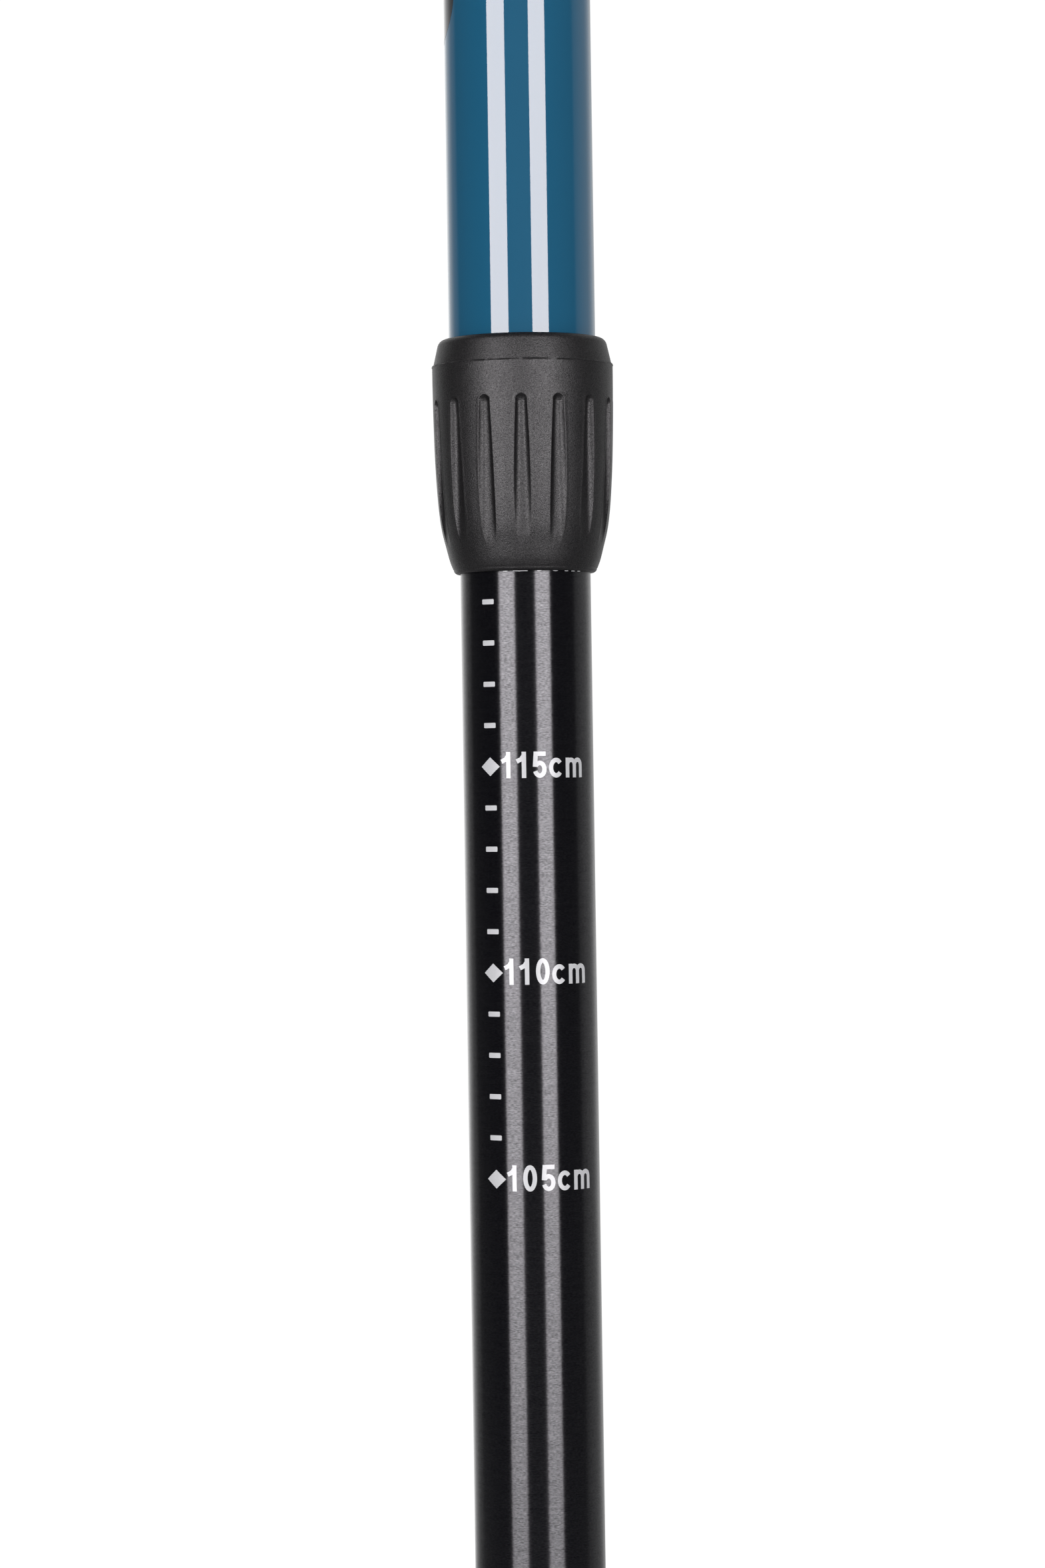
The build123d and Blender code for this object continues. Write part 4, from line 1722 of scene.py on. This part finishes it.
@dataclass(frozen=True)
class WristStrap:
    """Webbing loop: an eye round the pin, a sewn neck and the hanging loop."""

    node: str = "wrist_strap"
    body: str = "strap"
    width: float = 20.0
    thick: float = 1.5
    pin: Point = (-13.0, 50.0)
    eye: float = 2.15
    neck: float = 15.0
    down: float = 38.0
    # middle line of the hanging loop in mm, between the two ends of the neck
    hang: tuple[Point, ...] = (
        (-50.0, 8.0), (-64.0, -44.0), (-62.0, -94.0), (-45.0, -116.0), (-29.0, -94.0),
        (-26.0, -44.0), (-26.0, 8.0),
    )

    def along(self, reach: float, across: float) -> Point:
        """Place a point beside the neck.

        Args:
            reach: distance from the pin down the neck, in mm.
            across: distance from the neck's middle plane, in mm.

        Returns:
            X and Z in mm.
        """
        turn = math.radians(self.down)
        x = self.pin[0] - reach * math.cos(turn) - across * math.sin(turn)
        z = self.pin[1] - reach * math.sin(turn) + across * math.cos(turn)
        return (x, z)

    def eye_points(self) -> list[Point]:
        """Give the middle line of the eye, from under the pin round its far side.

        Returns:
            Points in mm, in order.
        """
        start = math.radians(180 + self.down) + math.radians(50)
        radius = self.eye + self.thick / 2
        turns = [start + math.radians(260) * step / 10 for step in range(11)]
        return [(self.pin[0] + radius * math.cos(t), self.pin[1] + radius * math.sin(t)) for t in turns]

    def path(self) -> np.ndarray:
        """Give the middle line of the whole webbing, from the neck round the loop and the pin.

        Returns:
            X and Z in mm, one row for each point, without the first repeated.
        """
        half = self.thick / 2
        seam, mouth, throat = self.neck - 4.0, self.neck + 0.5, 6.5
        loop = [
            self.along(seam, half), self.along(mouth, half), self.along(25.0, 2.2),
            *self.hang,
            self.along(21.0, -2.6), self.along(mouth, -half), self.along(seam, -half),
            self.along(throat, -half), *self.eye_points(), self.along(throat, half),
        ]
        return smooth_curve(loop, 12, closed=True)

    def build(self, paints: Paints, rules: Rules) -> bpy.types.Object:
        """Make the webbing and its stitches.

        Args:
            paints: finishes.
            rules: geometry node trees.

        Returns:
            The webbing.
        """
        line = self.path()
        closed = np.vstack([line, line[:1]])
        steps = np.hypot(*(closed[1:] - closed[:-1]).T)
        run = np.concatenate([[0.0], np.cumsum(steps)])
        total = run[-1]
        count = 420
        at = np.linspace(0, total, count, endpoint=False)
        xs, zs = np.interp(at, run, closed[:, 0]), np.interp(at, run, closed[:, 1])
        ahead = np.stack([np.roll(xs, -1) - np.roll(xs, 1), np.roll(zs, -1) - np.roll(zs, 1)], axis=1)
        ahead /= np.linalg.norm(ahead, axis=1)[:, None]
        half_w, half_t = self.width / 2, self.thick / 2
        section = []
        for share in np.linspace(-1, 1, 15):
            section.append((share * (half_w - 0.3), half_t))
        section += [(half_w - 0.08, half_t * 0.7), (half_w, 0.0), (half_w - 0.08, -half_t * 0.7)]
        for share in np.linspace(1, -1, 15):
            section.append((share * (half_w - 0.3), -half_t))
        section += [(-half_w + 0.08, -half_t * 0.7), (-half_w, 0.0), (-half_w + 0.08, half_t * 0.7)]
        verts, uvs = [], []
        for index in range(count):
            free = min(1.0, max(0.0, (self.pin[1] - 26.0 - zs[index]) / 50.0))
            lean = math.radians(9.0) * free * math.sin(at[index] / total * 2 * math.pi)
            sway = 1.6 * free * math.sin(at[index] / total * 2 * math.pi * 1.5 + 0.6)
            nx, nz = -ahead[index][1], ahead[index][0]
            for across, up in section:
                crown = up + 0.12 * math.cos(across / half_w * math.pi / 2) * (1 if up > 0 else -1) * free
                y = across * math.cos(lean) - crown * math.sin(lean) + sway
                off = across * math.sin(lean) + crown * math.cos(lean)
                verts.append(((xs[index] + nx * off) * MM, y * MM, (zs[index] + nz * off) * MM))
                uvs.append((at[index] * MM, across * MM))
        width = len(section)
        faces = grid_faces(count, width, True, True)
        obj = mesh_object("wrist_strap_webbing", verts, faces, 60)
        layer = obj.data.uv_layers.new(name="UVMap")
        for polygon in obj.data.polygons:
            around = [obj.data.loops[i].vertex_index // width for i in polygon.loop_indices]
            wraps = max(around) - min(around) > 2
            for loop_index, ring in zip(polygon.loop_indices, around):
                u, v = uvs[obj.data.loops[loop_index].vertex_index]
                layer.data[loop_index].uv = (u + total * MM if wraps and ring == 0 else u, v)
        set_material(obj, paints[Stock.WEBBING])
        self.outwards(obj)
        hand_over(obj, self.body, "strap_webbing", [self.node])
        stitches = self.stitches(paints, rules)
        return obj

    @staticmethod
    def outwards(obj: bpy.types.Object) -> None:
        """Turn the faces outwards.

        Args:
            obj: closed mesh object.
        """
        mesh = bmesh.new()
        mesh.from_mesh(obj.data)
        bmesh.ops.recalc_face_normals(mesh, faces=mesh.faces)
        mesh.to_mesh(obj.data)
        mesh.free()

    def stitches(self, paints: Paints, rules: Rules) -> bpy.types.Object:
        """Sew the neck: a box with a cross on each face.

        Args:
            paints: finishes.
            rules: geometry node trees.

        Returns:
            The stitches, a piece of their own.
        """
        verts, edges = [], []
        inset, start, end = 7.4, 7.4, 14.2
        for face in (1, -1):
            level = face * (self.thick + 0.02)
            marks = [
                ((start, -inset), (end, -inset)), ((start, inset), (end, inset)),
                ((start, -inset), (start, inset)), ((end, -inset), (end, inset)),
                ((start, -inset), (end, inset)), ((start, inset), (end, -inset)),
            ]
            for (ra, ya), (rb, yb) in marks:
                pieces = 12
                first = len(verts)
                for piece in range(pieces + 1):
                    share = piece / pieces
                    x, z = self.along(ra + (rb - ra) * share, level)
                    verts.append((x * MM, (ya + (yb - ya) * share) * MM, z * MM))
                edges += [(first + i, first + i + 1) for i in range(pieces)]
        mesh = bpy.data.meshes.new("strap_stitches")
        mesh.from_pydata(verts, edges, [])
        obj = bpy.data.objects.new("strap_stitches", mesh)
        bpy.context.scene.collection.objects.link(obj)
        rules.stitch.apply(obj, paints[Stock.THREAD], Pitch=1.5 * MM, Thread=0.19 * MM)
        return hand_over(obj, self.body, "strap_webbing")


@dataclass(frozen=True)
class LowerEnd:
    """Moulded lower end, steel sleeve and hard point, all turned forms."""

    body: str = "lower_section"
    tube_radius: float = 7.0
    splines: int = 12
    flute_depth: float = 0.5 * MM

    def build(self, paints: Paints) -> list[bpy.types.Object]:
        """Make the three pieces.

        Args:
            paints: finishes.

        Returns:
            The finished pieces.
        """
        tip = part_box("carbide_tip")[0][2] / MM
        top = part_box("ferrule")[1][2] / MM
        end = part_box("lower_tube")[0][2] / MM
        seat_low, seat_top = tip + 40.0, tip + 51.0
        holder_low, holder_top = tip + 10.0, tip + 22.0
        moulding = [
            (0, holder_low + 3.0, 0), (2.6, holder_low + 3.0, 0), (2.6, holder_top - 4.0, 0),
            (3.2, holder_top - 4.0, 0), (3.2, holder_top, 0), (4.6, holder_top, 0.3),
            (5.5, seat_low - 3.4, 0.8), (5.5, seat_low - 2.0, 0.3), (6.35, seat_low - 0.7, 0.25),
            (6.35, seat_low - 0.15, 0.12), (6.0, seat_low - 0.15, 0), (6.0, seat_top + 0.15, 0),
            (7.6, seat_top + 0.15, 0.3), (7.6, seat_top + 2.0, 0.5), (6.9, seat_top + 3.2, 0.8),
            (8.0, top - 26.0, 3.0), (8.2, top - 1.0, 0.5), (7.7, top, 0.3),
            (self.tube_radius, top, 0.05), (self.tube_radius, end, 0), (0, end, 0),
        ]
        sleeve = [
            (2.6, holder_low, 0.1), (3.7, holder_low, 0.2), (4.2, holder_low + 0.8, 0.3),
            (4.2, holder_top - 3.2, 0.1), (4.05, holder_top - 3.0, 0.1), (4.05, holder_top - 2.4, 0.1),
            (4.2, holder_top - 2.2, 0.1), (4.2, holder_top, 0.15), (3.2, holder_top, 0),
            (3.2, holder_top - 4.0, 0), (2.6, holder_top - 4.0, 0),
        ]
        point = [
            (0, tip + 1.2, 0), (0.9, tip + 0.7, 0.3), (1.5, tip, 0.1), (1.8, tip, 0.12),
            (2.1, tip + 0.5, 0.2), (2.1, holder_low - 4.0, 0.4), (2.6, holder_low - 1.0, 0.3),
            (2.6, holder_low + 3.0, 0),
            (0, holder_low + 3.0, 0),
        ]
        parts = []
        for name, outline, closed, stock, slot in (
            ("ferrule", moulding, False, Stock.COLLAR, "ferrule_plastic"),
            ("tip_holder", sleeve, True, Stock.TIP_STEEL, "tip_steel"),
            ("carbide_tip", point, False, Stock.CARBIDE, "carbide"),
        ):
            bends = rounded([(r * MM, z * MM, c * MM) for r, z, c in outline])
            obj = lathe(name + "_turned", self.evenly(bends), 128, closed)
            if name == "ferrule":
                self.flute(obj, top * MM)
            set_material(obj, paints[stock])
            parts.append(hand_over(obj, self.body, slot, [name]))
        return parts

    @staticmethod
    def evenly(outline: list[Point]) -> list[Point]:
        """Split long runs so that relief has points to move.

        Args:
            outline: radius and height of each corner.

        Returns:
            The same outline with points at least every 1.2 mm or so.
        """
        out = [outline[0]]
        for point in outline[1:]:
            start = out[-1]
            length = math.hypot(point[0] - start[0], point[1] - start[1])
            pieces = max(1, int(length / (1.2 * MM)))
            for piece in range(1, pieces + 1):
                share = piece / pieces
                radius = start[0] + (point[0] - start[0]) * share
                out.append((radius, start[1] + (point[1] - start[1]) * share))
        return out

    def flute(self, obj: bpy.types.Object, top: float) -> None:
        """Press shallow grip flutes into the top of the lower end.

        Args:
            obj: the turned lower end.
            top: height of its upper edge.
        """
        low, high = top - 21 * MM, top - 4 * MM
        for vertex in obj.data.vertices:
            x, y, z = vertex.co
            radius = math.hypot(x, y)
            if radius < 7.5 * MM or not low < z < high:
                continue
            turn = math.atan2(y, x) * self.splines / (2 * math.pi)
            near = abs(turn - round(turn)) * 2
            deep = max(0.0, 1.0 - near / 0.35)
            fade = min(1.0, (z - low) / (2 * MM), (high - z) / (1.5 * MM))
            scale = (radius - self.flute_depth * deep * deep * (3 - 2 * deep) * fade) / radius
            vertex.co = (x * scale, y * scale, z)
        obj.data.update()


@dataclass(frozen=True)
class Basket:
    """Dished disc with oblong openings, a hub and a rolled rim, its sizes in mm."""

    node: str = "basket"
    body: str = "snow_basket"
    holes: int = 10
    hole_at: float = 17.2
    hole_long: float = 10.5
    hole_wide: float = 5.2
    hole_edge: float = 0.28
    web_half: float = 8.25
    bore: float = 6.05
    around: int = 40
    layers: int = 5

    def under(self, radius: float) -> float:
        """Height of the lower face over the hub's foot, in mm."""
        return float(np.interp(radius, (8.9, 16.0, 24.2), (2.0, 3.4, 6.6)))

    def over(self, radius: float) -> float:
        """Height of the upper face over the hub's foot, in mm."""
        return float(np.interp(radius, (9.6, 15.6, 25.6), (4.2, 5.4, 9.4)))

    def opening(self, step: int) -> Point:
        """Place a point on an opening's edge, its long side along the radius.

        Args:
            step: number of the point round the opening.

        Returns:
            Distance along the radius and across it, in mm.
        """
        turn = 2 * math.pi * step / self.around
        half_long = (self.hole_long - self.hole_wide) / 2
        radius = self.hole_wide / 2
        x = math.cos(turn) * radius + (half_long if math.cos(turn) > 1e-9 else -half_long)
        return (self.hole_at + x, math.sin(turn) * radius)

    def border(self, step: int) -> Point:
        """Place the matching point on the border of the opening's sector.

        Args:
            step: number of the point round the opening.

        Returns:
            Distance along the radius and across it, in mm.
        """
        turn = 2 * math.pi * step / self.around
        x, y = math.cos(turn), math.sin(turn)
        scale = 1 / max(abs(x), abs(y))
        radius = self.hole_at + self.web_half * x * scale
        angle = math.pi / self.holes * y * scale
        return (radius * math.cos(angle), radius * math.sin(angle))

    def web(self, foot: float) -> bpy.types.Object:
        """Make one sector of the web round its opening.

        Args:
            foot: height of the hub's foot.

        Returns:
            The sector, open only where it meets its neighbours.
        """
        verts: list[tuple[float, float, float]] = []
        faces: list[list[int]] = []
        tops, lows = [], []
        for layer in range(self.layers + 1):
            share = layer / self.layers
            soft = self.hole_edge if layer == 0 else 0.0
            top_row, low_row = [], []
            for step in range(self.around):
                (hx, hy), (bx, by) = self.opening(step), self.border(step)
                x, y = (bx, by) if layer == self.layers else (hx + (bx - hx) * share, hy + (by - hy) * share)
                radius, angle = math.hypot(x, y), math.atan2(y, x)
                right, back = radius * math.cos(angle) * MM, radius * math.sin(angle) * MM
                top_row.append(len(verts))
                verts.append((right, back, foot + (self.over(radius) - soft) * MM))
                low_row.append(len(verts))
                verts.append((right, back, foot + (self.under(radius) + soft) * MM))
            tops.append(top_row)
            lows.append(low_row)
        for layer in range(self.layers):
            for step in range(self.around):
                side = (step + 1) % self.around
                a, b = tops[layer], tops[layer + 1]
                faces.append([a[step], b[step], b[side], a[side]])
                a, b = lows[layer], lows[layer + 1]
                faces.append([a[step], a[side], b[side], b[step]])
        for step in range(self.around):
            side = (step + 1) % self.around
            faces.append([tops[0][step], tops[0][side], lows[0][side], lows[0][step]])
        corner = self.around // 8
        for step in (*range(-corner, corner), *range(3 * corner, 5 * corner)):
            faces.append([lows[-1][step], lows[-1][step + 1], tops[-1][step + 1], tops[-1][step]])
        return mesh_object("basket_web", verts, faces)

    def build(self, paints: Paints, rules: Rules) -> bpy.types.Object:
        """Make the basket.

        Args:
            paints: finishes.
            rules: geometry node trees.

        Returns:
            The finished piece.
        """
        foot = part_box(self.node)[0][2]
        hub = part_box(self.node)[1][2] - foot
        web = self.web(foot)
        rules.polar.apply(web, paints[Stock.COLLAR], Count=self.holes, Turn=0.0, Weld=2e-6)
        z = foot / MM
        top = z + hub / MM
        near, far = self.hole_at - self.web_half, self.hole_at + self.web_half
        rim = [
            (far - 0.2, z + self.under(far) + 0.1, 0), (far, z + self.under(far), 0),
            (25.8, z + 6.0, 0.4), (27.0, z + 7.0, 0.5), (27.0, z + 8.6, 0.7), (25.9, z + 9.5, 0.5),
            (far, z + self.over(far), 0), (far - 0.2, z + self.over(far) - 0.15, 0),
        ]
        sleeve = [
            (self.bore, z, 0.2), (8.5, z, 0.4), (8.75, z + 1.9, 0.2),
            (near, z + self.under(near), 0), (near + 0.2, z + self.under(near) + 0.1, 0),
            (near + 0.2, z + self.over(near) - 0.1, 0), (near, z + self.over(near), 0),
            (9.0, z + 4.6, 0.3), (8.7, top, 0.4), (self.bore, top, 0.2),
        ]
        parts = [web]
        for name, outline, segments in (("basket_rim", rim, 200), ("basket_hub", sleeve, 160)):
            bends = rounded([(r * MM, h * MM, c * MM) for r, h, c in outline])
            part = lathe(name, bends, segments, True)
            set_material(part, paints[Stock.COLLAR])
            parts.append(part)
        obj = join("basket_moulding", parts)
        return hand_over(obj, self.body, "basket_plastic", [self.node])


# ---- studio ----
@dataclass(frozen=True)
class Softbox:
    """Upright soft light that faces the pole."""

    name: str
    azimuth: float
    spread: float
    distance: float
    tall: float
    height: float
    fill: float
    shine: float
    gap: float = 0.02
    tint: tuple[float, float, float] = (1.0, 0.965, 0.99)

    def place(self) -> None:
        """Add the light twice: one that lights surfaces, one seen only in shine."""
        wide = 2 * self.distance * math.tan(math.radians(self.spread / 2))
        turn = math.radians(self.azimuth)
        for suffix, level, shine_only in (("_fill", self.fill, False), ("_shine", self.shine, True)):
            # the shine layer hangs just in front of the fill layer, so that neither hides the other
            reach = self.distance - (self.gap if shine_only else 0.0)
            spot = Vector((math.sin(turn) * reach, -math.cos(turn) * reach, self.height))
            data = bpy.data.lights.new(self.name + suffix, "AREA")
            data.shape = "RECTANGLE"
            data.size = wide
            data.size_y = self.tall
            data.energy = level * math.pi * wide * self.tall
            data.color = self.tint
            obj = bpy.data.objects.new(self.name + suffix, data)
            obj.location = spot
            obj.rotation_euler = (math.pi / 2, 0, turn)
            obj.visible_camera = False
            obj.visible_diffuse = not shine_only
            obj.visible_glossy = shine_only
            bpy.context.scene.collection.objects.link(obj)


@dataclass(frozen=True)
class Studio:
    """Floor, lights, surround and camera."""

    camera_distance: float = 534.6 * MM
    lens: float = 100.0
    below_edge: float = 25.6 * MM
    side: float = -0.76 * MM
    roll: float = -0.87
    # what shiny surfaces see round the pole, by azimuth from the camera's side: pale walls behind
    # on the left and right, black flags beside the pole, a dim room behind the camera
    ring: tuple[Point, ...] = (
        (-180, 1.0), (-160, 1.5), (-140, 0.9), (-130, 0.5), (-120, 0.35),
        (-114, 0.1), (-60, 0.05), (-15, 0.25), (15, 0.27), (50, 0.1), (92, 0.1),
        (98, 0.45), (110, 0.6), (130, 0.6), (150, 0.9), (170, 0.7), (180, 1.0),
    )
    backdrop: float = 1.06
    ambient: float = 0.36

    def surround(self) -> None:
        """Build the surround: a pale wall for the camera, soft light, and the ring for shine."""
        world = bpy.data.worlds.new("Studio surround")
        bpy.context.scene.world = world
        world.use_nodes = True
        tree = world.node_tree
        tree.nodes.clear()
        spot = add_node(tree, "ShaderNodeTexCoord").outputs["Generated"]
        parts = add_node(tree, "ShaderNodeSeparateXYZ", {0: spot})
        away = add_node(tree, MATH, {0: parts.outputs["Y"], 1: -1.0}, operation="MULTIPLY").outputs[0]
        angle = add_node(tree, MATH, {0: parts.outputs["X"], 1: away}, operation="ARCTAN2").outputs[0]
        share = add_node(
            tree, MATH, {0: angle, 1: 0.5 / math.pi, 2: 0.5}, operation="MULTIPLY_ADD"
        ).outputs[0]
        ramp = add_node(tree, "ShaderNodeValToRGB", {"Fac": share})
        stops = ramp.color_ramp.elements
        while len(stops) < len(self.ring):
            stops.new(0.5)
        for stop, (azimuth, level) in zip(stops, self.ring):
            stop.position = azimuth / 360 + 0.5
            stop.color = (level / 2, level / 2, level / 2, 1.0)
        path = add_node(tree, "ShaderNodeLightPath")
        seen = add_node(tree, "ShaderNodeBackground", {"Color": (1, 1, 1, 1), "Strength": self.backdrop})
        soft = add_node(tree, "ShaderNodeBackground", {"Color": (1, 1, 1, 1), "Strength": self.ambient})
        shine = add_node(tree, "ShaderNodeBackground", {"Strength": 2.0, "Color": ramp.outputs["Color"]})
        first = add_node(
            tree,
            "ShaderNodeMixShader",
            {0: path.outputs["Is Glossy Ray"], 1: soft.outputs[0], 2: shine.outputs[0]},
        )
        both = add_node(
            tree,
            "ShaderNodeMixShader",
            {0: path.outputs["Is Camera Ray"], 1: first.outputs[0], 2: seen.outputs[0]},
        )
        add_node(tree, "ShaderNodeOutputWorld", {"Surface": both.outputs[0]})

    def floor(self, paints: Paints) -> None:
        """Lay a round pale floor under the point.

        Args:
            paints: finishes.
        """
        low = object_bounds()[0][2]
        radius, sides = 2.9, 96
        verts = [(0.0, 0.0, low)]
        for step in range(sides):
            turn = 2 * math.pi * step / sides
            verts.append((radius * math.cos(turn), radius * math.sin(turn), low))
        faces = [(0, 1 + step, 1 + (step + 1) % sides) for step in range(sides)]
        obj = mesh_object("studio_floor", verts, faces)
        set_material(obj, paints[Stock.FLOOR])
        obj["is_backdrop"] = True

    def camera(self) -> None:
        """Place the camera level in front of the upper joint."""
        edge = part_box("upper_collar")[0][2]
        data = bpy.data.cameras.new("camera")
        data.lens = self.lens
        data.sensor_width = 36.0
        data.sensor_fit = "AUTO"
        data.clip_start = 0.01
        obj = bpy.data.objects.new("camera", data)
        obj.location = (self.side, -self.camera_distance, edge - self.below_edge)
        obj.rotation_euler = (math.pi / 2, 0, 0)
        obj.rotation_euler.rotate_axis("Z", math.radians(self.roll))
        bpy.context.scene.collection.objects.link(obj)
        bpy.context.scene.camera = obj

    def build(self, paints: Paints) -> None:
        """Make everything that isn't the object.

        Args:
            paints: finishes.
        """
        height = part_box("upper_collar")[0][2] - self.below_edge
        for name, azimuth, spread in (("left_box", -34.6, 27.7), ("right_box", 29.5, 25.6)):
            Softbox(
                name, azimuth, spread, distance=1.1, tall=1.0, height=height + 0.25, fill=2.9, shine=15.8
            ).place()
        self.surround()
        self.floor(paints)
        self.camera()
        view = bpy.context.scene.view_settings
        view.view_transform = "Standard"
        view.look = "None"
        view.exposure = 0.0
        view.gamma = 1.0


# ---- CAD nodes that keep their own shape ----
CAD_FINISHES = {
    "grip_cap": Stock.CAP,
    "strap_pin": Stock.STEEL,
    "upper_expander": Stock.NYLON,
    "lower_expander": Stock.NYLON,
    "upper_cone_nut": Stock.ACETAL,
    "lower_cone_nut": Stock.ACETAL,
    "upper_spindle": Stock.STEEL,
    "lower_spindle": Stock.STEEL,
    "upper_spindle_stop": Stock.STEEL,
    "lower_spindle_stop": Stock.STEEL,
    "upper_plug": Stock.PLUG,
    "lower_plug": Stock.PLUG,
}


def dress_nodes(paints: Paints) -> None:
    """Give the CAD nodes that stay their finishes.

    Args:
        paints: finishes.
    """
    for name, stock in CAD_FINISHES.items():
        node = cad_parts[name]
        node.data.materials.clear()
        node.data.materials.append(paints[stock])
        LOG.info("%s keeps its CAD shape", name)


def main() -> None:
    """Build the pieces in order, then the studio."""
    logging.basicConfig(level=logging.INFO, format="%(name)s: %(message)s")
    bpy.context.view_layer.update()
    paints = Paints()
    rules = Rules()
    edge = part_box("upper_collar")[0][2]
    lower_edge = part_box("lower_collar")[0][2]

    for tube in (
        RoundTube("upper_tube", "handle_section", "upper_lacquer", 9 * MM, 8.3 * MM, Stock.LACQUER),
        RoundTube("middle_tube", "middle_section", "black_anodised", 8 * MM, 7.3 * MM, Stock.ANODISED),
        RoundTube("lower_tube", "lower_section", "black_anodised", 7 * MM, 6.3 * MM, Stock.ANODISED),
    ):
        tube.build(paints)
    Collar("upper_collar", "handle_section", "collar_plastic", 9 * MM, 8 * MM).build(paints, rules)
    Collar("lower_collar", "middle_section", "collar_plastic", 8 * MM, 7 * MM).build(paints, rules)
    SideBar().build(paints, rules)
    for scale in (
        PrintedScale("middle_scale", "middle_section", "black_anodised", 8 * MM, edge, 1.55 * MM),
        PrintedScale("lower_scale", "lower_section", "black_anodised", 7 * MM, lower_edge, 0.0),
    ):
        scale.build(paints, rules)
    Grip().build(paints)
    WristStrap().build(paints, rules)
    LowerEnd().build(paints)
    Basket().build(paints, rules)
    dress_nodes(paints)
    Studio().build(paints)


if __name__ == "__main__":
    main()
